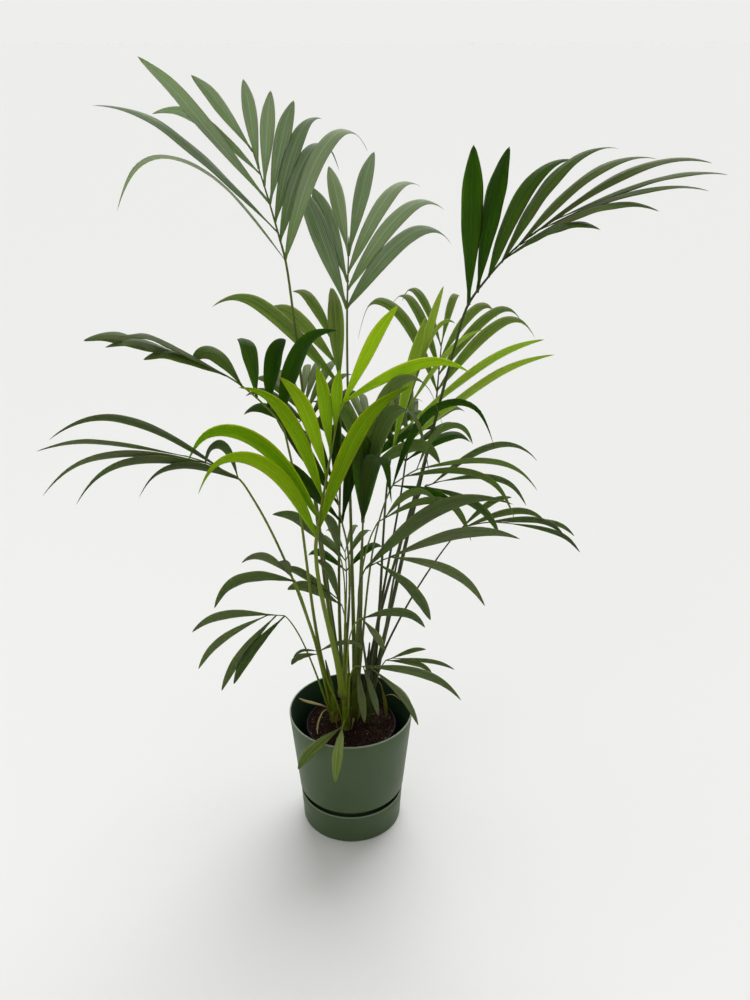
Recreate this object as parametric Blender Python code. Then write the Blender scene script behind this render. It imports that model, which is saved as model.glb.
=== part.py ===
"""A potted kentia palm: a green planter in its saucer, a black nursery pot full of soil,
six short stems, and the fronds that arch out of them.

Metres, +Z up. The origin is at the centre of the saucer's flat underside, on the pot's
axis. +X is to the right and +Y away from someone who stands in front of the plant.
"""
from collections import namedtuple
from math import cos, pi, radians, sin

import bmesh
import bpy
import numpy as np
from mathutils import Matrix, Vector
from mathutils.bvhtree import BVHTree

# Clearance between touching pieces
GAP = 0.0003

# Saucer: the low ring that the planter stands in
SAUCER_BASE_RADIUS = 0.102
SAUCER_RIM_RADIUS = 0.106
SAUCER_HEIGHT = 0.068
SAUCER_WALL = 0.003
SAUCER_FLOOR = 0.004

# Planter: a cone with a neck that sits down in the saucer
PLANTER_RIM_RADIUS = 0.125
PLANTER_HEIGHT = 0.260
PLANTER_LIP_HEIGHT = 0.078
PLANTER_LOW_RADIUS = 0.108
PLANTER_NECK_RADIUS = 0.090
PLANTER_WALL = 0.003
PLANTER_FLOOR = 0.004
POT_SIDES = 32

# Nursery pot and the soil in it
NURSERY_RIM_RADIUS = 0.091
NURSERY_BASE_RADIUS = 0.070
NURSERY_RIM_HEIGHT = 0.225
NURSERY_WALL = 0.0015
SOIL_TOP = 0.220

# Stems: root flare at the soil, then a slender tapered trunk of old leaf bases
STEM_FLARE_RADIUS = 0.0095
STEM_TOP_RADIUS = 0.0050
STEM_SIDES = 6
STEM_RINGS = 6
Stem = namedtuple("Stem", "x y height lean_x lean_y")
STEMS = {
    "left": Stem(-0.034, 0.008, 0.150, -0.016, 0.002),
    "front": Stem(-0.010, -0.014, 0.130, -0.004, -0.006),
    "middle": Stem(0.008, 0.018, 0.170, 0.000, 0.004),
    "right": Stem(0.034, 0.004, 0.150, 0.012, -0.002),
    "back_left": Stem(-0.014, 0.046, 0.160, -0.010, 0.010),
    "back_right": Stem(0.030, 0.046, 0.160, 0.008, 0.012),
}

# Ribs: the stalk of a frond and the midrib that its leaflets grow from, three-sided
RIB_SIDES = 3
STALK_STEPS = 8
MIDRIB_STEPS = 4
MIDRIB_TIP_RADIUS = 0.0013
RIB_CLEARANCE = 0.0008
SEAT_START = -0.0020
SEAT_STEP = 0.00015
SEAT_STEPS = 36

# Leaflets: a narrow blade with a ridge, pinched at its foot and drawn out to a tip
LEAF_BEND_STEPS = 24
LEAF_STATIONS = (0.0, 0.14, 0.38, 0.66, 0.88)
LEAF_FOOT_SHARE = 0.10
LEAF_DEPTH_SHARE = 0.012
LEAF_MARGIN = 0.0010

# What a leaflet tries when its first place is taken: spread and lift in degrees, and
# the share of its length that it keeps
LEAF_TRIES = (
    (0, 0, 1.0), (0, 8, 1.0), (0, -8, 1.0), (6, 0, 1.0), (-6, 0, 1.0), (0, 16, 1.0),
    (0, -16, 1.0), (8, 10, 0.95), (-8, 10, 0.95), (0, 24, 0.9), (0, -24, 0.9), (0, 0, 0.75),
    (0, 14, 0.75), (0, -14, 0.75), (10, 0, 0.6), (-10, 0, 0.6),
)
# What a stalk tries: how far its foot moves round the stem in degrees, and how far its
# middle bows aside in metres
FOOT_TURNS = (0, 24, -24, 48, -48, 72, -72, 100, -100, 130, -130, 180)
STALK_BOWS = (0.0, 0.008, -0.008, 0.016, -0.016, 0.026, -0.026)

# One side of a frond, from its crown to its tip: how many leaflets it has, and key values
# spread evenly along it: their angles from the midrib in degrees, their lengths in
# metres, how far each arches down along its length in degrees, and as rolls how far each
# is turned about its own length. start and end are the shares of the midrib where the
# first and the last one grow.
Fan = namedtuple(
    "Fan", "count angles lengths droops start end rolls", defaults=(0.04, 0.97, (0,)))

# One frond. The crown is the point where the first leaflets grow. lean is the midrib's
# angle from upright as seen from the front, away its tilt from the viewer, and turn its
# roll, all in degrees. bend is how far the midrib arches down, lift how far the leaflets
# stand up from the blade, and fold how sharply their ends hang.
Frond = namedtuple(
    "Frond",
    "stem foot crown lean away turn midrib bend left right width lift fold stalk tint",
)

FRONDS = {
    "frond_top_left": Frond(
        "back_left", 0.10, (-0.102, 0.040, 1.153), -15, 24, -12, 0.215, 16,
        Fan(4, (24, 31, 25, 29), (0.43, 0.39, 0.33, 0.235), (150, 35, 0, 50), 0.06, 0.80,
            (-80, -70, 0, 60, 60)),
        Fan(7, (28, 27, 27, 26, 19, 8, -18), (0.355, 0.285, 0.245, 0.19, 0.172, 0.165, 0.175),
            (120, 150, 70, 10, 5, 5, 5), 0.03, 0.96),
        0.034, 6, 10, 0.0030, "grey"),
    "frond_top_middle": Frond(
        "middle", 0.12, (-0.001, 0.100, 1.057), 1, 38, 0, 0.150, 6,
        Fan(3, (20, 19, 12), (0.255, 0.20, 0.185), (5, 5, 5), 0.04, 0.80),
        Fan(4, (33, 29, 22, 10), (0.30, 0.305, 0.285, 0.225), (90, 75, 70, 10), 0.04, 0.72),
        0.037, 6, 10, 0.0028, "grey"),
    "frond_top_right": Frond(
        "right", 0.12, (0.207, 0.030, 1.080), 27, 4, 40, 0.225, 45,
        Fan(6, (27, 22, 15, 9.5, -1, -10), (0.265, 0.25, 0.275, 0.285, 0.28, 0.32),
            (10, 35, 100, 80, 65, 55), 0.04, 0.75, (0, 5, 10, 20, 30, 35)),
        Fan(4, (20, 22, 22, 16), (0.175, 0.24, 0.285, 0.285), (65, 55, 40, 35), 0.45, 0.92, (-45,)),
        0.042, 8, 0, 0.0034, "dark"),
    "frond_left_upper": Frond(
        "left", 0.12, (-0.116, -0.020, 0.884), -28, -5, -35, 0.250, 58,
        Fan(4, (13, 9, 5, 1), (0.15, 0.18, 0.18, 0.145), (22, 16, 10, 5), 0.58, 0.97, (-50,)),
        Fan(5, (40, 41, 35, 14, -10), (0.212, 0.14, 0.13, 0.125, 0.205), (68, 60, 100, 110, 5),
            0.02, 0.50, (0, 0, 10, 25, 65)),
        0.040, 8, 25, 0.0028, "dark"),
    "frond_back_middle": Frond(
        "back_left", 0.13, (-0.017, 0.120, 0.909), -5, 35, 0, 0.080, 8,
        Fan(3, (36, 32, 20), (0.34, 0.205, 0.175), (60, 45, 50)),
        Fan(2, (1, 0), (0.196, 0.125), (15, 5)),
        0.032, 8, 20, 0.0024, "mid"),
    "frond_back_right": Frond(
        "back_right", 0.13, (0.167, 0.140, 0.889), 6, 32, 0, 0.100, 10,
        Fan(3, (26, 23, 24), (0.345, 0.225, 0.19), (190, 95, 110)),
        Fan(4, (32, 30, 24, 6), (0.285, 0.26, 0.20, 0.14), (85, 85, 90, 60)),
        0.025, 8, 30, 0.0024, "mid"),
    "frond_centre_bright": Frond(
        "front", 0.11, (-0.054, -0.110, 0.702), 9, 12, 0, 0.250, 10,
        Fan(7, (31, 37, 27, 24, 16, 8, -14), (0.32, 0.345, 0.26, 0.195, 0.155, 0.11, 0.205),
            (170, 165, 75, 40, 10, 5, 5)),
        Fan(2, (9, 46), (0.32, 0.245), (50, 60)),
        0.032, 8, 10, 0.0048, "bright"),
    "frond_right_light": Frond(
        "right", 0.13, (0.078, 0.030, 0.799), 18, 24, 5, 0.130, 8,
        Fan(2, (4, 4), (0.265, 0.215), (5, 5)),
        Fan(4, (33, 31, 14, -3), (0.36, 0.33, 0.225, 0.20), (30, 30, 45, 100), 0.04, 0.97,
            (40, 40, 50, 60)),
        0.025, 6, 5, 0.0026, "light"),
    "frond_left_long": Frond(
        "left", 0.10, (-0.188, -0.060, 0.795), -42, -20, -35, 0.120, 20,
        Fan(4, (12, 14, 12, 6), (0.22, 0.30, 0.31, 0.265), (90, 75, 60, 20), 0.04, 0.97,
            (30, 20, 25, 50)),
        Fan(2, (32, 3), (0.145, 0.345), (195, 65), 0.04, 0.30, (0, 30)),
        0.024, 6, 10, 0.0028, "dull"),
    "frond_left_small": Frond(
        "left", 0.05, (-0.100, -0.040, 0.579), -25, -15, -10, 0.025, 10,
        Fan(2, (36, 2), (0.185, 0.125), (110, 70)),
        Fan(1, (14,), (0.06,), (40,)),
        0.030, 5, 10, 0.0020, "dull"),
    "frond_inner_left": Frond(
        "front", 0.06, (-0.014, 0.000, 0.598), -18, 10, 0, 0.020, 5,
        Fan(1, (22,), (0.16,), (40,)),
        Fan(1, (12,), (0.10,), (90,)),
        0.030, 5, 20, 0.0020, "dull"),
    "frond_inner_low": Frond(
        "middle", 0.05, (-0.016, 0.020, 0.491), -30, 10, 0, 0.020, 10,
        Fan(2, (25, 15), (0.12, 0.13), (50, 20)),
        Fan(1, (22,), (0.10,), (60,)),
        0.027, 5, 20, 0.0018, "dull"),
    "frond_left_low": Frond(
        "left", 0.03, (-0.126, 0.000, 0.479), -62, -20, -25, 0.040, 18,
        Fan(3, (55, 50, 20), (0.165, 0.18, 0.172), (50, 50, 60)),
        Fan(1, (3,), (0.172,), (55,)),
        0.023, 5, 5, 0.0018, "dull"),
    "frond_right_low": Frond(
        "right", 0.05, (0.032, -0.060, 0.618), 48, -15, 15, 0.060, 12,
        Fan(2, (12, 3), (0.35, 0.265), (65, 45)),
        Fan(2, (58, 25), (0.148, 0.205), (85, 80), 0.44, 0.97),
        0.030, 5, 0, 0.0022, "dull"),
    "frond_right_middle": Frond(
        "right", 0.08, (0.140, 0.000, 0.755), 58, -10, 25, 0.030, 10,
        Fan(1, (18,), (0.225,), (90,)),
        Fan(2, (36, 5), (0.175, 0.185), (70, 90)),
        0.017, 8, 10, 0.0022, "dull"),
    "frond_right_inner": Frond(
        "middle", 0.08, (0.080, -0.030, 0.770), 42, -5, 20, 0.060, 20,
        Fan(2, (26, 38), (0.32, 0.165), (215, 190)),
        Fan(3, (45, 22, 14), (0.165, 0.25, 0.235), (90, 130, 70)),
        0.017, 8, 10, 0.0022, "dark"),
    "frond_right_arch": Frond(
        "middle", 0.10, (0.054, -0.060, 0.712), 46, -15, 15, 0.030, 10,
        Fan(1, (20,), (0.14,), (110,)),
        Fan(1, (0,), (0.21,), (190,)),
        0.020, 5, 10, 0.0020, "dark"),
    "frond_right_far": Frond(
        "back_right", 0.06, (0.212, 0.050, 0.643), 60, 0, 30, 0.090, 36,
        Fan(2, (18, 6), (0.12, 0.15), (45, 50)),
        Fan(3, (2, 4, 4), (0.17, 0.17, 0.165), (60, 60, 50)),
        0.015, 6, 10, 0.0020, "dull"),
    "frond_right_foot": Frond(
        "back_right", 0.03, (0.071, 0.040, 0.349), 62, 0, 20, 0.015, 10,
        Fan(1, (4,), (0.08,), (20,)),
        Fan(2, (25, 18), (0.10, 0.13), (40, 20)),
        0.016, 5, 10, 0.0016, "dull"),
    "frond_front_right": Frond(
        "front", 0.04, (0.012, -0.040, 0.390), 74, -20, 30, 0.030, 10,
        Fan(1, (2,), (0.215,), (60,)),
        Fan(3, (82, 66, 28), (0.11, 0.10, 0.15), (40, 45, 75)),
        0.022, 5, 5, 0.0018, "dull"),
    "frond_centre_dark": Frond(
        "middle", 0.12, (0.026, 0.024, 0.668), 3, -12, 5, 0.120, 0,
        Fan(2, (3, 14), (0.26, 0.20), (10, 60)),
        Fan(4, (2, -1, 3, 44), (0.30, 0.42, 0.39, 0.17), (178, 168, 172, 90), 0.08, 0.97),
        0.040, 2, 35, 0.0030, "dark"),
    "frond_rim_front": Frond(
        "front", 0.02, (-0.014, -0.088, 0.285), -30, -75, 180, 0.008, 10,
        Fan(1, (6,), (0.15,), (75,)),
        Fan(1, (54,), (0.12,), (40,), 0.04, 0.97, (-50,)),
        0.032, 3, 10, 0.0016, "mid"),
    "frond_centre_shade": Frond(
        "back_left", 0.08, (-0.012, 0.000, 0.680), -10, 12, 0, 0.080, 5,
        Fan(3, (30, 20, 8), (0.19, 0.20, 0.17), (20, 10, 5)),
        Fan(2, (20, 14), (0.21, 0.13), (10, 10)),
        0.030, 6, 5, 0.0026, "deep"),
    "frond_inner_right": Frond(
        "front", 0.085, (0.018, -0.070, 0.515), 60, -15, 10, 0.012, 10,
        Fan(1, (5,), (0.14,), (75,)),
        Fan(1, (66,), (0.075,), (50,)),
        0.026, 5, 10, 0.0018, "dull"),
    "frond_front_left": Frond(
        "front", 0.03, (-0.062, -0.030, 0.411), -5, -20, 0, 0.012, 10,
        Fan(2, (84, 60), (0.060, 0.055), (70, 100)),
        Fan(1, (60,), (0.11,), (90,)),
        0.028, 5, 10, 0.0016, "dull"),
    "frond_rear_left": Frond(
        "back_left", 0.06, (-0.080, 0.165, 0.790), -12, 50, -5, 0.120, 35,
        Fan(5, (44, 28, 12), (0.17, 0.20, 0.19), (60, 45, 35)),
        Fan(5, (44, 28, 12), (0.16, 0.20, 0.19), (60, 45, 35)),
        0.026, 8, 15, 0.0026, "dark"),
    "frond_rear_middle": Frond(
        "middle", 0.04, (0.030, 0.180, 0.720), 5, 50, 0, 0.130, 40,
        Fan(5, (46, 28, 12), (0.20, 0.22, 0.20), (60, 45, 35)),
        Fan(5, (46, 28, 12), (0.19, 0.22, 0.20), (60, 45, 35)),
        0.026, 8, 15, 0.0026, "dark"),
    "frond_rear_right": Frond(
        "back_right", 0.08, (0.110, 0.175, 0.730), 16, 50, 5, 0.120, 35,
        Fan(5, (42, 26, 12), (0.17, 0.20, 0.19), (60, 45, 35)),
        Fan(5, (42, 26, 12), (0.17, 0.19, 0.18), (60, 45, 35)),
        0.024, 8, 15, 0.0026, "dark"),
    "frond_rear_low": Frond(
        "back_left", 0.03, (-0.010, 0.140, 0.500), -6, 55, 0, 0.060, 30,
        Fan(3, (44, 16), (0.11, 0.13), (65, 50)),
        Fan(3, (44, 16), (0.11, 0.13), (65, 50)),
        0.022, 8, 15, 0.0020, "dark"),
}

# Colours, from the photo: base colour and roughness
FINISHES = {
    "planter": ((0.062, 0.094, 0.044), 0.45),
    "nursery": ((0.010, 0.011, 0.010), 0.50),
    "soil": ((0.022, 0.010, 0.008), 0.95),
    "stem": ((0.080, 0.115, 0.015), 0.50),
    "grey": ((0.095, 0.130, 0.080), 0.45),
    "mid": ((0.060, 0.120, 0.025), 0.45),
    "dark": ((0.020, 0.060, 0.006), 0.40),
    "deep": ((0.008, 0.020, 0.003), 0.45),
    "bright": ((0.150, 0.310, 0.008), 0.40),
    "light": ((0.200, 0.380, 0.020), 0.40),
    "dull": ((0.050, 0.070, 0.030), 0.45),
}


def clear_scene():
    """Take away whatever the scene starts with."""
    for obj in list(bpy.data.objects):
        bpy.data.objects.remove(obj, do_unlink=True)


def finish_of(name):
    """The Principled material of that name, made once."""
    material = bpy.data.materials.get(name)
    if material is None:
        colour, roughness = FINISHES[name]
        material = bpy.data.materials.new(name)
        material.use_nodes = True
        shader = material.node_tree.nodes["Principled BSDF"]
        shader.inputs["Base Color"].default_value = (*colour, 1.0)
        shader.inputs["Roughness"].default_value = roughness
        shader.inputs["Metallic"].default_value = 0.0
    return material


def object_of(name, mesh_data, finish):
    """Put a bmesh in the scene as one named object."""
    mesh = bpy.data.meshes.new(name)
    mesh_data.to_mesh(mesh)
    mesh_data.free()
    mesh.materials.append(finish_of(finish))
    obj = bpy.data.objects.new(name, mesh)
    bpy.context.scene.collection.objects.link(obj)
    return obj


def turned(name, profile, finish):
    """A round piece: a profile of radius and height, from the axis round to the axis."""
    work = bmesh.new()
    points = [work.verts.new((radius, 0.0, height)) for radius, height in profile]
    edges = [work.edges.new(pair) for pair in zip(points, points[1:])]
    bmesh.ops.spin(
        work, geom=points + edges, cent=(0, 0, 0), axis=(0, 0, 1), angle=2 * pi,
        steps=POT_SIDES, use_merge=True,
    )
    bmesh.ops.remove_doubles(work, verts=work.verts, dist=0.00001)
    bmesh.ops.recalc_face_normals(work, faces=work.faces)
    obj = object_of(name, work, finish)
    obj.data.shade_smooth()
    obj.data.set_sharp_from_angle(angle=radians(35))
    return obj


def make_pots():
    """The saucer, the planter that stands in it, the nursery pot and the soil."""
    wall = SAUCER_WALL
    turned("saucer", [
        (0.0, 0.0), (SAUCER_BASE_RADIUS - 0.003, 0.0), (SAUCER_BASE_RADIUS, 0.003),
        (SAUCER_RIM_RADIUS, SAUCER_HEIGHT - 0.001), (SAUCER_RIM_RADIUS - 0.001, SAUCER_HEIGHT),
        (SAUCER_RIM_RADIUS - wall, SAUCER_HEIGHT - 0.001),
        (SAUCER_BASE_RADIUS - wall, SAUCER_FLOOR), (0.0, SAUCER_FLOOR),
    ], "planter")
    wall, base = PLANTER_WALL, SAUCER_FLOOR + GAP
    lip = PLANTER_LIP_HEIGHT
    floor = base + PLANTER_FLOOR
    turned("planter", [
        (0.0, base), (PLANTER_NECK_RADIUS - 0.004, base), (PLANTER_NECK_RADIUS, base + 0.004),
        (PLANTER_NECK_RADIUS + 0.002, lip - 0.010), (PLANTER_LOW_RADIUS - 0.008, lip - 0.002),
        (PLANTER_LOW_RADIUS - 0.002, lip), (PLANTER_LOW_RADIUS, lip + 0.005),
        (PLANTER_RIM_RADIUS, PLANTER_HEIGHT - 0.0015),
        (PLANTER_RIM_RADIUS - 0.0015, PLANTER_HEIGHT),
        (PLANTER_RIM_RADIUS - wall, PLANTER_HEIGHT - 0.0015),
        (PLANTER_LOW_RADIUS - wall, lip + 0.005), (PLANTER_NECK_RADIUS - wall, lip - 0.008),
        (PLANTER_NECK_RADIUS - wall - 0.002, floor), (0.0, floor),
    ], "planter")
    wall = NURSERY_WALL
    base = floor + GAP
    inner_floor = base + wall
    turned("nursery_pot", [
        (0.0, base), (NURSERY_BASE_RADIUS, base),
        (NURSERY_RIM_RADIUS, NURSERY_RIM_HEIGHT),
        (NURSERY_RIM_RADIUS - wall, NURSERY_RIM_HEIGHT),
        (NURSERY_BASE_RADIUS - wall, inner_floor), (0.0, inner_floor),
    ], "nursery")
    slope = (NURSERY_RIM_RADIUS - NURSERY_BASE_RADIUS) / (NURSERY_RIM_HEIGHT - inner_floor)
    foot_radius = NURSERY_BASE_RADIUS - wall - 2 * GAP
    top_radius = foot_radius + slope * (SOIL_TOP - inner_floor)
    turned("soil", [
        (0.0, inner_floor + GAP), (foot_radius, inner_floor + GAP),
        (top_radius, SOIL_TOP), (0.0, SOIL_TOP),
    ], "soil")


def tube(work, points, radii, sides, across):
    """Skin a run of points with flat sides and closed ends; the last radius may be a tip."""
    rings = []
    for index, point in enumerate(points):
        before, after = points[max(index - 1, 0)], points[min(index + 1, len(points) - 1)]
        along = (after - before).normalized()
        first = (across - along * across.dot(along)).normalized()
        second = along.cross(first)
        across = first
        ring = []
        for side in range(sides):
            angle = 2 * pi * side / sides
            offset = first * cos(angle) + second * sin(angle)
            ring.append(work.verts.new(point + offset * radii[index]))
        rings.append(ring)
    for low, high in zip(rings, rings[1:]):
        for side in range(sides):
            after = (side + 1) % sides
            work.faces.new((low[side], low[after], high[after], high[side]))
    work.faces.new(rings[0][::-1])
    work.faces.new(rings[-1])


def stem_axis(stem, share):
    """A point on a stem's middle line, from its foot at 0 to its top at 1."""
    rise = SOIL_TOP + GAP + stem.height * share
    drift = share ** 1.5
    return Vector((stem.x + stem.lean_x * drift, stem.y + stem.lean_y * drift, rise))


def stem_radius(share):
    """A stem's radius: it flares into the soil and tapers to its top."""
    flare = (STEM_FLARE_RADIUS - STEM_TOP_RADIUS) * (1 - share) ** 3
    return STEM_TOP_RADIUS * (1.25 - 0.25 * share) + flare


def make_stem(name, stem):
    """One stem, cut flat at the soil."""
    work = bmesh.new()
    shares = [ring / (STEM_RINGS - 1) for ring in range(STEM_RINGS)]
    points = [stem_axis(stem, share) for share in shares]
    radii = [stem_radius(share) for share in shares]
    tube(work, points, radii, STEM_SIDES, Vector((1, 0, 0)))
    ground = SOIL_TOP + GAP
    for vertex in work.verts:
        if vertex.co.z < ground + 0.004:
            vertex.co.z = ground
    bmesh.ops.recalc_face_normals(work, faces=work.faces)
    return object_of("stem_" + name, work, "stem")


def lowered(direction, others, degrees):
    """Turn a direction toward the ground by so many degrees, and others with it."""
    axis = direction.cross(Vector((0, 0, -1)))
    if axis.length < 0.01:
        axis = others[0]
    turn = Matrix.Rotation(radians(degrees), 3, axis.normalized())
    return turn @ direction, [turn @ other for other in others]


def frond_axes(frond):
    """The midrib's first direction, the blade's right side, and its upper face."""
    lean, away, turn = radians(frond.lean), radians(frond.away), radians(frond.turn)
    along = Vector((sin(lean) * cos(away), sin(away), cos(lean) * cos(away)))
    side = Vector((cos(lean), 0.0, -sin(lean)))
    face = side.cross(along)
    return along, side * cos(turn) + face * sin(turn), face * cos(turn) - side * sin(turn)


def midrib_frames(frond):
    """Point, direction, side and face at each step of the midrib, from crown to tip."""
    along, side, face = frond_axes(frond)
    point = Vector(frond.crown)
    frames = [(point.copy(), along, side, face)]
    for _ in range(MIDRIB_STEPS):
        level = 0.3 + 0.7 * Vector((along.x, along.y, 0)).length
        along, (side, face) = lowered(along, [side, face], frond.bend / MIDRIB_STEPS * level)
        point = point + along * (frond.midrib / MIDRIB_STEPS)
        frames.append((point.copy(), along, side, face))
    return frames


def frame_at(frames, share):
    """The midrib's frame at a share of its length."""
    place = min(share * MIDRIB_STEPS, MIDRIB_STEPS - 0.0001)
    index, rest = int(place), place - int(place)
    near, far = frames[index], frames[index + 1]
    point = near[0].lerp(far[0], rest)
    axes = [near[axis].lerp(far[axis], rest).normalized() for axis in (1, 2, 3)]
    return (point, *axes)


def stalk_points(frond, foot_turn, bow, push):
    """A frond's stalk: it leaves its stem upright and runs almost straight to its crown."""
    stem = STEMS[frond.stem]
    share = min(frond.foot / stem.height, 0.97)
    axis = stem_axis(stem, share)
    crown = Vector(frond.crown)
    out = Vector((crown.x - axis.x, crown.y - axis.y, 0)).normalized()
    out = Matrix.Rotation(radians(foot_turn), 3, "Z") @ out
    start = axis + out * (stem_radius(share) + frond.stalk * 0.5 + push)
    reach = (crown - start).length
    direct = (crown - start) / reach
    grain = (stem_axis(stem, 1.0) - stem_axis(stem, 0.5)).normalized()
    upward = (grain * 0.6 + direct * 0.4 + out * 0.05).normalized()
    onward = (frond_axes(frond)[0] * 0.6 + Vector((0, 0, 1)) * 0.4).normalized()
    aside = Vector((-out.y, out.x, 0)) * bow
    first = start + upward * reach * 0.35 + aside
    second = crown - onward * reach * 0.22 + aside
    points = []
    for step in range(STALK_STEPS + 1):
        share = step / STALK_STEPS
        rest = 1 - share
        points.append(
            start * rest ** 3 + first * (3 * rest ** 2 * share)
            + second * (3 * rest * share ** 2) + crown * share ** 3
        )
    return points, out


def rib_line(frond, foot_turn, bow, push):
    """The stalk and the midrib as one run of points with their radii."""
    points, out = stalk_points(frond, foot_turn, bow, push)
    frames = midrib_frames(frond)
    radii = [frond.stalk * (1 - 0.25 * step / STALK_STEPS) for step in range(STALK_STEPS + 1)]
    for step in range(1, MIDRIB_STEPS + 1):
        share = step / MIDRIB_STEPS
        points.append(frames[step][0])
        radii.append(radii[STALK_STEPS] * (1 - share) + MIDRIB_TIP_RADIUS * share)
    return points, radii, out


def rib_tree(points, radii, out, margin):
    """A search tree of a rib that is grown by a margin on every flat side."""
    work = bmesh.new()
    grown = [radius + margin / cos(pi / RIB_SIDES) for radius in radii]
    tube(work, points, grown, RIB_SIDES, out)
    tree = tree_of(work)
    work.free()
    return tree


def seated_rib(frond, foot_turn, bow, stem_tree):
    """Move a stalk's foot out from its stem until the two are just clear of each other."""
    for step in range(SEAT_STEPS):
        points, radii, out = rib_line(frond, foot_turn, bow, SEAT_START + step * SEAT_STEP)
        if not rib_tree(points, radii, out, GAP).overlap(stem_tree):
            return points, radii, out
    return None


def samples_of(points, radii, between=6):
    """Close points along a run, with their radii, as one array."""
    rows = []
    for index in range(len(points) - 1):
        for part in range(between):
            share = part / between
            place = points[index].lerp(points[index + 1], share)
            radius = radii[index] * (1 - share) + radii[index + 1] * share
            rows.append((*place, radius))
    rows.append((*points[-1], radii[-1]))
    return np.array(rows)


def room_between(one, other):
    """The least clear space between two runs of samples."""
    apart = np.linalg.norm(one[:, None, :3] - other[None, :, :3], axis=2)
    return float((apart - one[:, None, 3] - other[None, :, 3]).min())


def place_ribs(stem_trees):
    """Find each frond a stalk that keeps clear of the stems and of the stalks before it."""
    taken = {}
    for name, stem in STEMS.items():
        shares = [ring / (STEM_RINGS - 1) for ring in range(STEM_RINGS)]
        points = [stem_axis(stem, share) for share in shares]
        taken[name] = samples_of(points, [stem_radius(share) for share in shares])
    ribs = {}
    for name, frond in FRONDS.items():
        best = None
        tries = [(foot_turn, bow) for foot_turn in FOOT_TURNS for bow in STALK_BOWS]
        for foot_turn, bow in tries:
            rib = seated_rib(frond, foot_turn, bow, stem_trees[frond.stem])
            if rib is None:
                continue
            line = samples_of(rib[0], rib[1])
            room = min(room_between(line, taken[other]) for other in taken if other != frond.stem)
            if best is None or room > best[0]:
                best = (room, rib, line)
            if room > RIB_CLEARANCE:
                break
        room, ribs[name], line = best
        if room < RIB_CLEARANCE:
            print(name, "stalk has only", round(room * 1000, 2), "mm")
        taken[name] = line
    return ribs


def leaf_outline(share):
    """A leaflet's half width as a share of its widest, which lies past its middle."""
    return max(sin(pi * share ** 1.2), LEAF_FOOT_SHARE) ** 0.75


def leaf_line(start, along, across, length, droop, fold):
    """Points, directions and width axes along a leaflet that arches down."""
    rows = [(start.copy(), along.copy(), across.copy())]
    point = start.copy()
    for step in range(LEAF_BEND_STEPS):
        share = (step + 0.5) / LEAF_BEND_STEPS
        level = 0.5 + 0.5 * Vector((along.x, along.y, 0)).length
        arch = droop * 2.5 * share ** 1.5 * level
        crease = fold * 5 if 0.68 < share < 0.88 else 0.0
        room = max(0.0, min(1.0, (along.z + 1.0) / 0.4))
        along, (across,) = lowered(along, [across], (arch + crease) * room / LEAF_BEND_STEPS)
        point = point + along * (length / LEAF_BEND_STEPS)
        rows.append((point.copy(), along.copy(), across.copy()))
    return rows


def blade(work, rows, half_width, depth):
    """The closed blade of one leaflet round its line: a ridge over two flat sides."""
    rings = []
    for share in LEAF_STATIONS:
        point, along, across = rows[round(share * LEAF_BEND_STEPS)]
        ridge = across.cross(along)
        width = half_width * leaf_outline(share)
        rise = depth * (0.5 + 0.5 * leaf_outline(share))
        rings.append([
            work.verts.new(point - across * width - ridge * rise * 0.35),
            work.verts.new(point + across * width - ridge * rise * 0.35),
            work.verts.new(point + ridge * rise * 0.65),
        ])
    tip = work.verts.new(rows[-1][0])
    for low, high in zip(rings, rings[1:]):
        for side in range(3):
            after = (side + 1) % 3
            work.faces.new((low[side], low[after], high[after], high[side]))
    for side in range(3):
        work.faces.new((rings[-1][side], rings[-1][(side + 1) % 3], tip))
    work.faces.new(rings[0][::-1])


def key_value(keys, share):
    """The value at a share of the way along evenly spaced key values."""
    place = share * (len(keys) - 1)
    index = min(int(place), len(keys) - 2) if len(keys) > 1 else 0
    following = keys[min(index + 1, len(keys) - 1)]
    return keys[index] + (following - keys[index]) * (place - index)


def fan_leaves(frond):
    """Where each leaflet of a frond grows, on both sides, and its angle, length and droop."""
    for fan, hand in ((frond.left, -1), (frond.right, 1)):
        for index in range(fan.count):
            share = 1.0 if fan.count == 1 else index / (fan.count - 1)
            along_midrib = fan.start + (fan.end - fan.start) * share if fan.count > 1 else 0.6
            if hand < 0:
                along_midrib = max(along_midrib - 0.05, 0.02)
            keys = (fan.angles, fan.lengths, fan.droops, fan.rolls)
            yield (hand, along_midrib, *[key_value(values, share) for values in keys])


def leaf_rows(frond, frames, hand, along_midrib, angle, length, droop, roll, lift):
    """The line of one leaflet."""
    point, along, side, face = frame_at(frames, along_midrib)
    spread = radians(angle)
    outward = along * cos(spread) + side * (hand * sin(spread))
    across = (side * cos(spread) * hand - along * sin(spread)) * hand
    rise = radians(lift)
    heading = outward * cos(rise) + face * sin(rise)
    across = Matrix.Rotation(radians(roll * hand), 3, heading) @ across
    return leaf_line(point, heading, across, length, droop, frond.fold)


def tree_of(work):
    """A search tree of a bmesh's faces."""
    return BVHTree.FromBMesh(work)


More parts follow.
